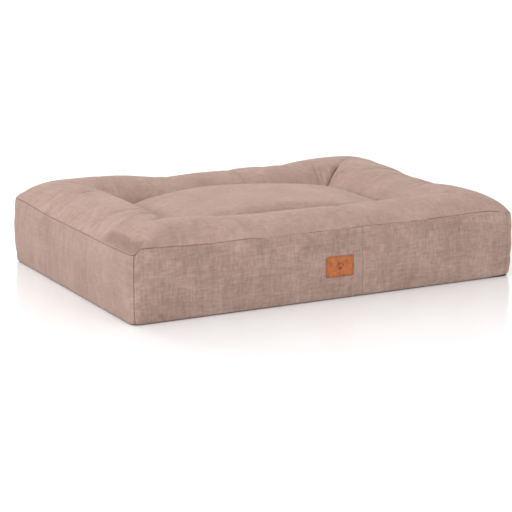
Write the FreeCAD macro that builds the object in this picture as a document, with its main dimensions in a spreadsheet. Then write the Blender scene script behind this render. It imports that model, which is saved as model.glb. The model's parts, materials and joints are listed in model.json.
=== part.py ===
"""Rectangular cushion bed for a pet, in millimetres.

A foam base in a sewn box cover carries four stuffed bolsters round its top edge, and a loose
crowned cushion lies in the well between them. The frame is +Z up, the front faces -Y, and the
origin is on the floor under the middle of the bed.
"""
import FreeCAD, Part
import math
import os
import Sketcher

Vector = FreeCAD.Vector
Z_AXIS = Vector(0, 0, 1)

SIZES = {
    # outer box
    "bed_length": 1050, "bed_width": 750, "corner_radius": 22, "fabric": 2,
    "seam_height": 170, "base_rim": 6, "join_seam": 82,
    # foam base
    "foam_gap": 4, "foam_split": 64, "foam_top": 98, "deck_top": 100,
    # bolsters
    "bolster_width": 200, "crest_height": 215, "crest_inset": 88, "crease_height": 150,
    # loose cushion
    "cushion_gap": 3, "cushion_radius": 50, "cushion_foot": 100.3, "cushion_equator": 136,
    "cushion_crown": 205, "dome_height": 400, "dome_length": 908, "dome_width": 442,
    # leather label on the front wall
    "label_width": 76, "label_height": 51, "label_thickness": 1.8, "label_middle": 15,
    "label_level": 83, "label_radius": 3, "stitch_inset": 4, "stitch_pitch": 5,
    "stitch_length": 3.4, "stitch_radius": 0.4,
    # zip in the back wall
    "zip_level": 45, "coil_half": 415, "window_half": 432, "window_height": 12,
    "tape_half": 446, "tape_width": 15, "tape_thickness": 0.8, "tape_gap": 0.8,
    "coil_width": 2.9, "coil_thickness": 2.2, "coil_gap": 0.1,
    # zip slider and pull
    "slider_length": 12, "slider_half_width": 4.5, "plate": 1.2, "slider_play": 0.3,
    "flange": 1, "diamond_length": 3, "diamond_half": 0.5, "bridge_half": 3.5,
    "bridge_half_width": 1.1, "bridge_rise": 3.4, "eye_rise": 1.6, "eye_radius": 1,
    "bar_radius": 0.93, "arm_inner": 1.3, "arm_outer": 2.6, "pull_reach": 27,
    "pull_half_width": 3.5, "pull_half_thickness": 0.6, "arm_length": 5,
    # zip stops
    "stop_length": 2.5, "stop_rise": 1.5,
}

doc = FreeCAD.newDocument("pet_cushion_bed")
sheet = doc.addObject("Spreadsheet::Sheet", "Sizes")
for row, (alias, value) in enumerate(SIZES.items(), start=1):
    sheet.set(f"A{row}", alias)
    sheet.set(f"B{row}", str(value))
    sheet.setAlias(f"B{row}", alias)
doc.recompute()

CELLS = {alias: f"Sizes.{alias}" for alias in SIZES}
nodes = []


def size(alias):
    """The value of one cell of the sheet."""
    return float(sheet.get(alias))


def bound(expression):
    """The expression with each {alias} in it turned into a reference to its cell."""
    return expression.format(**CELLS)


def bind(thing, **properties):
    """Binds properties of an object to expressions; X, Y and Z stand for its position."""
    for name, expression in properties.items():
        path = f"Placement.Base.{name.lower()}" if name in ("X", "Y", "Z") else name
        thing.setExpression(path, bound(expression))


def node(thing, label):
    """Names a finished sub-part; its label is the name of its file."""
    thing.Label = label
    nodes.append(thing)
    return thing


def block(name, x, y, z):
    """A plain block between pairs of expressions along X, Y and Z."""
    box = doc.addObject("Part::Box", name)
    bind(box, X=x[0], Y=y[0], Z=z[0], Length=f"({x[1]}) - ({x[0]})",
         Width=f"({y[1]}) - ({y[0]})", Height=f"({z[1]}) - ({z[0]})")
    return box


def cylinder(name, centre, axis, radius, length):
    """A cylinder that starts at centre and runs along axis, which is +Y or +Z."""
    rod = doc.addObject("Part::Cylinder", name)
    if axis == "Y":
        rod.Placement = FreeCAD.Placement(Vector(), FreeCAD.Rotation(Vector(1, 0, 0), -90))
    bind(rod, X=centre[0], Y=centre[1], Z=centre[2], Radius=radius, Height=length)
    return rod


def cut(name, base, tool):
    """base less tool."""
    made = doc.addObject("Part::Cut", name)
    made.Base, made.Tool = base, tool
    return made


def common(name, *shapes):
    """What all the shapes share."""
    made = doc.addObject("Part::MultiCommon", name)
    made.Shapes = list(shapes)
    return made


def fuse(name, *shapes):
    """The shapes joined."""
    made = doc.addObject("Part::MultiFuse", name)
    made.Shapes = list(shapes)
    return made


def origin_plane(body, role):
    """The plane of a body's origin that has the role, such as XY_Plane."""
    return next(f for f in body.Origin.OriginFeatures if f.Role == role)


def polygon(body, name, plane, points):
    """A closed sketch of straight sides whose corners are pairs of expressions."""
    sketch = body.newObject("Sketcher::SketchObject", name)
    sketch.AttachmentSupport = [(origin_plane(body, plane), "")]
    sketch.MapMode = "FlatFace"
    # rough corners in the right order, which the constraints then pull to size
    count = len(points)
    rough = [Vector(100 * math.cos(6.28 * i / count), 100 * math.sin(6.28 * i / count), 0)
             for i in range(count)]
    for i in range(count):
        sketch.addGeometry(Part.LineSegment(rough[i], rough[(i + 1) % count]), False)
    for i in range(count):
        sketch.addConstraint(Sketcher.Constraint("Coincident", i, 2, (i + 1) % count, 1))
    for i, (across, up) in enumerate(points):
        place_point(sketch, i, 1, across, up, f"p{i}")
    return sketch


def place_point(sketch, geometry, end, across, up, name):
    """Holds one point of a sketch at a pair of expressions from the sketch's origin."""
    for kind, expression in (("DistanceX", across), ("DistanceY", up)):
        rough = sketch.getPoint(geometry, end)
        value = rough.x if kind == "DistanceX" else rough.y
        index = sketch.addConstraint(Sketcher.Constraint(kind, -1, 1, geometry, end, value))
        sketch.renameConstraint(index, f"{name}_{kind}")
        sketch.setExpression(f"Constraints.{name}_{kind}", bound(expression))


def pad(body, sketch, name, length):
    """A sketch drawn out square to its plane."""
    made = body.newObject("PartDesign::Pad", name)
    made.Profile = sketch
    bind(made, Length=length)
    doc.recompute()
    return made


def rounded_block(name, length, width, low, high, radius):
    """A PartDesign block centred on the origin in plan, with rounded upright edges."""
    body = doc.addObject("PartDesign::Body", name)
    x, y = f"({length}) / 2", f"({width}) / 2"
    plan = polygon(body, name + "_plan", "XY_Plane",
                   [(f"-{x}", f"-{y}"), (x, f"-{y}"), (x, y), (f"-{x}", y)])
    raised = pad(body, plan, name + "_pad", f"({high}) - ({low})")
    upright = [f"Edge{i}" for i, edge in enumerate(raised.Shape.Edges, start=1)
               if abs(edge.tangentAt(edge.FirstParameter).z) > 0.99]
    fillet = body.newObject("PartDesign::Fillet", name + "_fillet")
    fillet.Base = (raised, upright)
    bind(fillet, Radius=radius)
    body.Tip = fillet
    bind(body, Z=low)
    doc.recompute()
    return body


# ---- box cover ---------------------------------------------------------------------------

INNER_LENGTH, INNER_WIDTH = "{bed_length} - 2 * {fabric}", "{bed_width} - 2 * {fabric}"
INNER_RADIUS = "{corner_radius} - {fabric}"
HALF_LENGTH, HALF_WIDTH = "{bed_length} / 2", "{bed_width} / 2"
PAST = "{bed_length}"  # well past any side of the bed


def base_panel():
    """The bottom panel: flat non-slip cloth whose edge turns up to meet the walls."""
    outside = rounded_block("base_outside", "{bed_length}", "{bed_width}", "0", "{base_rim}",
                            "{corner_radius}")
    inside = rounded_block("base_inside", INNER_LENGTH, INNER_WIDTH, "{fabric}",
                           "{base_rim} + 1", INNER_RADIUS)
    node(cut("base_tray", outside, inside), "bottom_panel")


def wall_panels():
    """The boxing strip round the base, in the panels that it is sewn from."""
    outside = rounded_block("wall_outside", "{bed_length}", "{bed_width}", "{base_rim}",
                            "{seam_height}", "{corner_radius}")
    inside = rounded_block("wall_inside", INNER_LENGTH, INNER_WIDTH, "{base_rim} - 1",
                           "{seam_height} + 1", INNER_RADIUS)
    ring = cut("wall_ring", outside, inside)
    front = ("-{bed_width}", f"-{HALF_WIDTH} + {{fabric}}")
    back = (f"{HALF_WIDTH} - {{fabric}}", "{bed_width}")
    corner = "{bed_length} / 2 - {corner_radius}"
    height = ("0", "{seam_height} + 1")
    main_area = block("front_main_area", (f"-({corner})", "{join_seam}"), front, height)
    end_area = block("front_end_area", ("{join_seam}", corner), front, height)
    back_area = block("back_area", (f"-({corner})", corner), back, height)
    node(common("front_main_cloth", ring, main_area), "front_wall_main")
    node(common("front_end_cloth", ring, end_area), "front_wall_end")
    for label, side in (("left_wall", ("-" + PAST, "0")), ("right_wall", ("0", PAST))):
        half = common(label + "_half", ring, block(label + "_area", side, ("-" + PAST, PAST), height))
        faces = fuse(label + "_neighbours", main_area, end_area, back_area)
        node(cut(label + "_cloth", half, faces), label)

    window = block("zip_window", ("-{window_half}", "{window_half}"), back,
                   ("{zip_level} - {window_height} / 2", "{zip_level} + {window_height} / 2"))
    back_wall = cut("back_wall_cloth", common("back_strip", ring, back_area), window)
    below = block("back_below_zip", ("-" + PAST, PAST), back, ("0", "{zip_level}"))
    above = block("back_above_zip", ("-" + PAST, PAST), back, ("{zip_level}", "{seam_height} + 1"))
    node(common("back_lower_cloth", back_wall, below), "back_wall_lower")
    node(common("back_upper_cloth", back_wall, above), "back_wall_upper")


def foam_base():
    """Two foam slabs, glued face to face, and the deck cloth that closes the box over them."""
    inset = "2 * {fabric} + 2 * {foam_gap}"
    length, width = f"{{bed_length}} - ({inset})", f"{{bed_width}} - ({inset})"
    radius = "{corner_radius} - {foam_gap}"
    node(rounded_block("support_slab", length, width, "{fabric}", "{foam_split}", radius),
         "support_foam")
    node(rounded_block("comfort_slab", length, width, "{foam_split}", "{foam_top}", radius),
         "comfort_foam")
    node(rounded_block("deck_cloth", INNER_LENGTH + " - 1", INNER_WIDTH + " - 1", "{foam_top}",
                       "{deck_top}", INNER_RADIUS), "deck_panel")


# ---- bolsters ----------------------------------------------------------------------------

def bolster_section(body, name, wall, crest, inner, ledge):
    """The section of a bolster, from the wall inwards: flat foot, two tangent arcs over the top.

    wall, crest and inner are expressions for the distance of the outer face, the height of the
    crest and the distance of the inner face. A ledge lets the top lap over the wall's edge.
    """
    sketch = body.newObject("Sketcher::SketchObject", name)
    sketch.AttachmentSupport = [(origin_plane(body, "YZ_Plane"), "")]
    sketch.MapMode = "FlatFace"
    seam, top, crease = size("seam_height"), size("crest_height"), size("crease_height")
    wide, near, deck = size("bolster_width"), size("crest_inset"), size("deck_top")
    corners = [Vector(wide, crease, 0), Vector(wide, deck, 0), Vector(2, deck, 0), Vector(2, seam, 0)]
    if ledge:
        corners.append(Vector(0, seam, 0))
    for first, second in zip(corners, corners[1:]):
        sketch.addGeometry(Part.LineSegment(first, second), False)
    last = len(corners) - 2
    outer_radius, inner_radius = near, wide - near
    outer = sketch.addGeometry(Part.ArcOfCircle(
        Part.Circle(Vector(near, top - outer_radius, 0), Z_AXIS, outer_radius),
        math.pi / 2, 0.8 * math.pi), False)
    inner_arc = sketch.addGeometry(Part.ArcOfCircle(
        Part.Circle(Vector(near, top - inner_radius, 0), Z_AXIS, inner_radius),
        0.2 * math.pi, math.pi / 2), False)
    add = sketch.addConstraint
    for i in range(last):
        add(Sketcher.Constraint("Coincident", i, 2, i + 1, 1))
    add(Sketcher.Constraint("Coincident", last, 2, outer, 2))
    add(Sketcher.Constraint("Coincident", outer, 1, inner_arc, 2))
    add(Sketcher.Constraint("Coincident", inner_arc, 1, 0, 1))
    place_point(sketch, outer, 1, "{crest_inset}", crest, "crest")
    # both arcs have their centres under the crest, so they are tangent there
    add(Sketcher.Constraint("Vertical", outer, 3, outer, 1))
    add(Sketcher.Constraint("Vertical", inner_arc, 3, inner_arc, 2))
    place_point(sketch, 0, 1, inner, "{crease_height}", "crease")
    place_point(sketch, 1, 1, inner, "{deck_top}", "foot_inner")
    place_point(sketch, 2, 1, wall, "{deck_top}", "foot_outer")
    place_point(sketch, 2, 2, wall, "{seam_height}", "seam")
    if ledge:
        place_point(sketch, 3, 2, "0", "{seam_height}", "lap")
    return sketch


def bolster_body(side, name, x, y, turn):
    """An empty body for one side's bolster, drawn along +X with the wall at its origin."""
    body = doc.addObject("PartDesign::Body", f"{side}_{name}")
    body.Placement = FreeCAD.Placement(Vector(), FreeCAD.Rotation(Z_AXIS, turn))
    bind(body, X=x, Y=y)
    return body


def bolster_run(side, name, place, run, *section):
    """A bolster's section drawn out along the whole of its side of the bed."""
    body = bolster_body(side, name, *place)
    profile = bolster_section(body, f"{side}_{name}_section", *section)
    pad(body, profile, f"{side}_{name}_pad", run)
    return body


def bolster_mitre(side, place, run, height):
    """A block that ends in a mitre at both corners of its side of the bed."""
    body = bolster_body(side, "mitre", *place)
    reach = "({bolster_width} + 5)"
    plan = polygon(body, f"{side}_mitre_plan", "XY_Plane",
                   [("0", "0"), (run, "0"), (f"{run} - {reach}", reach), (reach, reach)])
    pad(body, plan, f"{side}_mitre_pad", height)
    return body


def bolsters():
    """Four bolsters, mitred at the corners: a stuffed filling and the cloth over it."""
    sides = {
        "front": ("{bed_length}", f"-{HALF_LENGTH}", f"-{HALF_WIDTH}", 0),
        "back": ("{bed_length}", HALF_LENGTH, HALF_WIDTH, 180),
        "left": ("{bed_width}", f"-{HALF_LENGTH}", HALF_WIDTH, -90),
        "right": ("{bed_width}", HALF_LENGTH, f"-{HALF_WIDTH}", 90),
    }
    top = "{crest_height} + 1"
    core = rounded_block("filling_plan", INNER_LENGTH, INNER_WIDTH, "{deck_top} - 1", top,
                         INNER_RADIUS)
    low_skin = rounded_block("cover_plan_low", INNER_LENGTH, INNER_WIDTH, "{deck_top} - 1",
                             "{seam_height} + 1", INNER_RADIUS)
    high_skin = rounded_block("cover_plan_high", "{bed_length}", "{bed_width}", "{seam_height}",
                              top, "{corner_radius}")
    skin = fuse("cover_plan", low_skin, high_skin)
    for side, (run, *place) in sides.items():
        mitre = bolster_mitre(side, place, run, top)
        stuffing = bolster_run(side, "stuffing", place, run, "{fabric}",
                               "{crest_height} - {fabric}", "{bolster_width} - {fabric}", False)
        outside = bolster_run(side, "outside", place, run, "{fabric}", "{crest_height}",
                              "{bolster_width}", True)
        filling = common(f"{side}_filling_solid", stuffing, mitre, core)
        whole = common(f"{side}_cover_whole", outside, mitre, skin)
        node(filling, f"{side}_bolster_filling")
        node(cut(f"{side}_cover_cloth", whole, filling), f"{side}_bolster_cover")


# ---- loose cushion -----------------------------------------------------------------------

def cushion_form(name, inset):
    """A rounded block under a shallow dome, inset all round by an expression."""
    around = f"(2 * {{bolster_width}} + 2 * {{cushion_gap}} + 2 * ({inset}))"
    plan = rounded_block(name + "_plan", f"{{bed_length}} - {around}", f"{{bed_width}} - {around}",
                         f"{{cushion_foot}} + {inset}", "{cushion_crown} + 1",
                         f"{{cushion_radius}} - {inset}")
    dome = doc.addObject("Part::Ellipsoid", name + "_dome")
    bind(dome, Radius1=f"{{dome_height}} - {inset}", Radius2=f"{{dome_length}} - {inset}",
         Radius3=f"{{dome_width}} - {inset}", Z="{cushion_crown} - {dome_height}")
    return common(name, plan, dome)


def loose_cushion():
    """The crowned cushion that lifts out: two cover panels, seamed at the equator, and filling."""
    outside = cushion_form("cushion_outside", "0")
    filling = cushion_form("cushion_stuffing", "{fabric}")
    shell = cut("cushion_shell", outside, filling)
    wide = ("-" + PAST, PAST)
    upper = block("cushion_upper_area", wide, wide, ("{cushion_equator}", "{cushion_crown} + 1"))
    lower = block("cushion_lower_area", wide, wide, ("0", "{cushion_equator}"))
    node(common("cushion_upper_cloth", shell, upper), "centre_cushion_top")
    node(common("cushion_lower_cloth", shell, lower), "centre_cushion_bottom")
    node(filling, "centre_cushion_filling")


# ---- label -------------------------------------------------------------------------------

def leather_label():
    """A leather patch on the front wall."""
    body = doc.addObject("PartDesign::Body", "label_patch")
    x, z = "{label_width} / 2", "{label_height} / 2"
    plan = polygon(body, "label_plan", "XZ_Plane",
                   [(f"-{x}", f"-{z}"), (x, f"-{z}"), (x, z), (f"-{x}", z)])
    raised = pad(body, plan, "label_pad", "{label_thickness}")
    along = [f"Edge{i}" for i, edge in enumerate(raised.Shape.Edges, start=1)
             if abs(edge.tangentAt(edge.FirstParameter).y) > 0.99]
    fillet = body.newObject("PartDesign::Fillet", "label_corners")
    fillet.Base = (raised, along)
    bind(fillet, Radius="{label_radius}")
    body.Tip = fillet
    bind(body, X="{label_middle}", Y=f"-{HALF_WIDTH}", Z="{label_level}")
    node(body, "leather_label")


def stitch_row(direction, sideways, half, offset):
    """Stitches along both edges of the label that run in one direction, about its middle."""
    pitch, length = size("stitch_pitch"), size("stitch_length")
    count = int(2 * half / pitch)
    first = -pitch * (count - 1) / 2 - length / 2
    starts = [direction * (first + i * pitch) + sideways * (side * offset)
              for side in (-1, 1) for i in range(count)]
    return [Part.makeCylinder(size("stitch_radius"), length, start, direction) for start in starts]


def label_stitching():
    """A row of stitches near the label's edge that holds it to the wall."""
    across = size("label_width") / 2 - size("stitch_inset")
    up = size("label_height") / 2 - size("stitch_inset")
    x_axis = Vector(1, 0, 0)
    stitches = stitch_row(x_axis, Z_AXIS, across, up) + stitch_row(Z_AXIS, x_axis, up, across)
    thread = doc.addObject("Part::Feature", "label_thread")
    thread.Shape = Part.makeCompound(stitches)
    bind(thread, X="{label_middle}", Z="{label_level}",
         Y=f"-{HALF_WIDTH} - {{label_thickness}} - {{stitch_radius}}")
    node(thread, "label_stitching")


# ---- zip ---------------------------------------------------------------------------------

TAPE_FACE = f"{HALF_WIDTH} - {{fabric}}"                     # the tapes lie behind the back wall
COIL_FACE = f"({TAPE_FACE}) + {{coil_thickness}}"
PLATE_INSIDE = f"({COIL_FACE}) + {{slider_play}}"
PLATE_OUTSIDE = f"({PLATE_INSIDE}) + {{plate}}"
SLIDER_START = "{coil_half} + 0.5"
SLIDER_MIDDLE = f"{SLIDER_START} + {{slider_length}} / 2"
EYE_DEPTH = f"({PLATE_OUTSIDE}) + {{eye_rise}}"


def about_zip(low, high):
    """A span up the back wall, counted from the zip's centre line."""
    return (f"{{zip_level}} + ({low})", f"{{zip_level}} + ({high})")


def zip_strips():
    """Two tapes, and on each of them one half of the coil."""
    tape = (f"({TAPE_FACE}) - {{tape_thickness}}", TAPE_FACE)
    coil = (TAPE_FACE, COIL_FACE)
    for half, sign in (("upper", 1), ("lower", -1)):
        def span(near, far):
            return about_zip(near, far) if sign > 0 else about_zip(f"-({far})", f"-({near})")

        node(block(f"tape_{half}", ("-{tape_half}", "{tape_half}"), tape,
                   span("{tape_gap}", "{tape_gap} + {tape_width}")), f"zip_tape_{half}")
        node(block(f"coil_{half}", ("-{coil_half}", "{coil_half}"), coil,
                   span("{coil_gap}", "{coil_gap} + {coil_width}")), f"zip_coil_{half}")


def zip_end_stops():
    """A stop on each tape past the closed slider, and one across both tapes at the other end."""
    depth = (TAPE_FACE, f"({TAPE_FACE}) + {{stop_rise}}")
    start = f"{SLIDER_START} + {{slider_length}} + 0.5"
    end = ("-{coil_half} - 0.5 - {stop_length}", "-{coil_half} - 0.5")
    stops = [
        block("stop_upper", (start, f"{start} + {{stop_length}}"), depth, about_zip("1", "3")),
        block("stop_lower", (start, f"{start} + {{stop_length}}"), depth, about_zip("-3", "-1")),
        block("stop_across", end, depth, about_zip("-3", "3")),
    ]
    group = doc.addObject("Part::Compound", "stops")
    group.Links = stops
    node(group, "zip_stops")


def zip_slider():
    """Two plates joined by the diamond, side flanges, and a bridge with an eye for the pull."""
    length = (SLIDER_START, f"{SLIDER_START} + {{slider_length}}")
    half = "{slider_half_width}"
    under = f"({TAPE_FACE}) - {{tape_thickness}} - {{slider_play}}"
    outer = block("slider_outer", length, (PLATE_INSIDE, PLATE_OUTSIDE), about_zip(f"-{half}", half))
    inner = block("slider_inner", length, (f"({under}) - {{plate}}", under), about_zip(f"-{half}", half))
    turned = (f"({TAPE_FACE}) + {{slider_play}}", PLATE_OUTSIDE)
    flange_above = block("slider_flange_above", length, turned, about_zip(f"{half} - {{flange}}", half))
    flange_below = block("slider_flange_below", length, turned,
                         about_zip(f"-{half}", f"-{half} + {{flange}}"))
    nose = f"{SLIDER_START} + {{slider_length}} - 1"
    diamond = block("slider_diamond", (f"{nose} - {{diamond_length}}", nose), (under, PLATE_INSIDE),
                    about_zip("-{diamond_half}", "{diamond_half}"))
    bridge = block("slider_bridge",
                   (f"{SLIDER_MIDDLE} - {{bridge_half}}", f"{SLIDER_MIDDLE} + {{bridge_half}}"),
                   (PLATE_OUTSIDE, f"({PLATE_OUTSIDE}) + {{bridge_rise}}"),
                   about_zip("-{bridge_half_width}", "{bridge_half_width}"))
    eye = cylinder("slider_eye", (SLIDER_MIDDLE, EYE_DEPTH, "{zip_level} - 2 * {bridge_half_width}"),
                   "Z", "{eye_radius}", "4 * {bridge_half_width}")
    whole = fuse("slider_whole", outer, inner, flange_above, flange_below, diamond, bridge)
    node(cut("slider_body", whole, eye), "zip_slider")


def zip_pull():
    """The pull: a bar through the slider's eye, two arms and a flat tab with a round end."""
    depth = (f"({EYE_DEPTH}) - {{pull_half_thickness}}", f"({EYE_DEPTH}) + {{pull_half_thickness}}")
    bar = cylinder("pull_bar", (SLIDER_MIDDLE, EYE_DEPTH, "{zip_level} - {arm_outer}"), "Z",
                   "{bar_radius}", "2 * {arm_outer}")
    arm = (f"{SLIDER_MIDDLE} - {{arm_length}} - 1", SLIDER_MIDDLE)
    arm_above = block("pull_arm_above", arm, depth, about_zip("{arm_inner}", "{arm_outer}"))
    arm_below = block("pull_arm_below", arm, depth, about_zip("-{arm_outer}", "-{arm_inner}"))
    tab = block("pull_tab", (f"{SLIDER_MIDDLE} - {{pull_reach}}", f"{SLIDER_MIDDLE} - {{arm_length}}"),
                depth, about_zip("-{pull_half_width}", "{pull_half_width}"))
    tip = cylinder("pull_tip", (f"{SLIDER_MIDDLE} - {{pull_reach}}", depth[0], "{zip_level}"), "Y",
                   "{pull_half_width}", "2 * {pull_half_thickness}")
    node(fuse("pull_whole", bar, arm_above, arm_below, tab, tip), "zip_pull")


def check(things):
    """Stops on an object that failed, or on a sub-part that isn't a valid solid."""
    failed = [o.Name for o in doc.Objects if {"Invalid", "Error"} & set(o.State)]
    failed += [o.Label for o in things
               if o.Shape.isNull() or not o.Shape.isValid() or not o.Shape.Solids]
    if failed:
        raise SystemExit(f"failed: {failed}")


for build in (base_panel, wall_panels, foam_base, bolsters, loose_cushion, leather_label,
              label_stitching, zip_strips, zip_end_stops, zip_slider, zip_pull):
    build()
doc.recompute()
check(nodes)
os.makedirs("parts", exist_ok=True)
for thing in nodes:
    thing.Shape.exportStep(f"parts/{thing.Label}.step")
    box = thing.Shape.optimalBoundingBox()
    print(f"{thing.Label}: {len(thing.Shape.Solids)} solid(s), {thing.Shape.Volume / 1000:.2f} cm3, "
          f"x {box.XMin:.1f}..{box.XMax:.1f}, y {box.YMin:.1f}..{box.YMax:.1f}, "
          f"z {box.ZMin:.1f}..{box.ZMax:.1f}")
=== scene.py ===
"""Looks of the pet cushion bed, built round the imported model.

The sewn cover is one ring of cloth that is pumped up and then parted at its seams into wall
panels and bolsters. The loose cushion, label, base, zip and inner pieces are made beside it.
All sizes are metres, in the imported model's frame: +Z up, the front faces -Y.
"""

import json
import logging
import math
from dataclasses import dataclass, field
from enum import Enum
from typing import Callable, Iterable, Sequence

import bmesh
import bpy
from mathutils import Matrix, Vector, noise
from mathutils.bvhtree import BVHTree

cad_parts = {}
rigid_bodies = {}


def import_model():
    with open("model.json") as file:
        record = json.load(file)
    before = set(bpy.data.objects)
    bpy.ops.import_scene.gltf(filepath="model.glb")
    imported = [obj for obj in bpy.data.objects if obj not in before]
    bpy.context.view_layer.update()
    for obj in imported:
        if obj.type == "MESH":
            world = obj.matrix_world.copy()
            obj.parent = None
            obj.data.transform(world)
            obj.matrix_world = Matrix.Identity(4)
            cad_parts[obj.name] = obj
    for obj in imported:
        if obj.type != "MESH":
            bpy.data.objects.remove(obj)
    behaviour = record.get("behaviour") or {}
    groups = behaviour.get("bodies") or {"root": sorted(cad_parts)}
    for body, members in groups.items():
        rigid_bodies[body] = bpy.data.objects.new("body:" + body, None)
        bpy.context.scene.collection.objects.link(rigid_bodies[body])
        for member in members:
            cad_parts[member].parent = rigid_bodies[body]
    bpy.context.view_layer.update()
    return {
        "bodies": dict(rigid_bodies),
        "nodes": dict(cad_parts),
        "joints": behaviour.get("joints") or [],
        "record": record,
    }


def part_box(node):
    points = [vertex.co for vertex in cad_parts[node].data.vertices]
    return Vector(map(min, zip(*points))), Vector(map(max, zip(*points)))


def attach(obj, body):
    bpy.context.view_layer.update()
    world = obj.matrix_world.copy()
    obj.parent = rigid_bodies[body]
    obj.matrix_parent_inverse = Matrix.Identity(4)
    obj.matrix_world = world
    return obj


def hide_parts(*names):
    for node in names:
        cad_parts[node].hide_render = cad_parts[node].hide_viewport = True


MM = 0.001
LOG = logging.getLogger("pet_cushion_bed")

BASE_BODY = "bed_base"
CUSHION_BODY = "loose_cushion"
SLIDER_BODY = "slider"
PULL_BODY = "pull"


# ---- small helpers -----------------------------------------------------------------------


def mix(low: float, high: float, share: float) -> float:
    """The value that lies a share of the way from low to high."""
    return low + (high - low) * share


def ease(share: float) -> float:
    """A share from 0 to 1 with soft ends."""
    share = min(1.0, max(0.0, share))
    return share * share * (3 - 2 * share)


def bump(distance: float, width: float) -> float:
    """1 on a line and falling smoothly to 0 at some widths away."""
    return math.exp(-((distance / width) ** 2))


def add_object(name: str, mesh: bpy.types.Mesh) -> bpy.types.Object:
    """A new object in the scene that shows a mesh."""
    made = bpy.data.objects.new(name, mesh)
    bpy.context.scene.collection.objects.link(made)
    return made


def finish_bmesh(work: bmesh.types.BMesh, name: str, smooth: bool = True) -> bpy.types.Object:
    """Turns a bmesh into an object.

    Args:
        work: the bmesh, which is freed.
        name: the object's name.
        smooth: whether its faces are shaded smooth.

    Returns:
        The new object, at the origin.
    """
    mesh = bpy.data.meshes.new(name)
    for face in work.faces:
        face.smooth = smooth
    work.to_mesh(mesh)
    work.free()
    return add_object(name, mesh)


def repeat(work: bmesh.types.BMesh, shape: bmesh.types.BMesh, places: Iterable[Matrix]) -> None:
    """Adds a copy of a small shape at each place.

    Args:
        work: the bmesh that the copies are added to.
        shape: the shape at the origin, which is freed.
        places: where the copies go.
    """
    mesh = bpy.data.meshes.new("repeated_shape")
    shape.to_mesh(mesh)
    shape.free()
    for place in places:
        mesh.transform(place)
        work.from_mesh(mesh)
        mesh.transform(place.inverted())
    bpy.data.meshes.remove(mesh)


def bead(length: float, depth: float, height: float, segments: int = 8) -> bmesh.types.BMesh:
    """A small rounded bead, long along X, such as a stitch or a coil loop."""
    shape = bmesh.new()
    scale = Matrix.Diagonal((length / 2, depth / 2, height / 2, 1))
    bmesh.ops.create_uvsphere(shape, u_segments=segments, v_segments=6, radius=1.0, matrix=scale)
    return shape


def dress(piece: bpy.types.Object, material: bpy.types.Material, body: str,
          replaces: Sequence[str] = ()) -> bpy.types.Object:
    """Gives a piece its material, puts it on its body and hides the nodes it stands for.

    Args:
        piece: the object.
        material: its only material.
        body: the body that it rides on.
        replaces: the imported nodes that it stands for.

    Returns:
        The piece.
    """
    piece.data.materials.clear()
    piece.data.materials.append(material)
    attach(piece, body)
    if replaces:
        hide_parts(*replaces)
    LOG.info("%s: %d faces on %s", piece.name, len(piece.data.polygons), body)
    return piece


def subdivide(piece: bpy.types.Object, levels: int = 1) -> None:
    """Adds a subdivision surface with the same level in view and render."""
    modifier = piece.modifiers.new("smooth", "SUBSURF")
    modifier.levels = levels
    modifier.render_levels = levels


def thicken(piece: bpy.types.Object, thickness: float) -> None:
    """Gives a skin its thickness, inwards from its outer face."""
    modifier = piece.modifiers.new("cloth", "SOLIDIFY")
    modifier.thickness = thickness
    modifier.offset = -1
    modifier.use_even_offset = False


# ---- finishes ----------------------------------------------------------------------------


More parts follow.
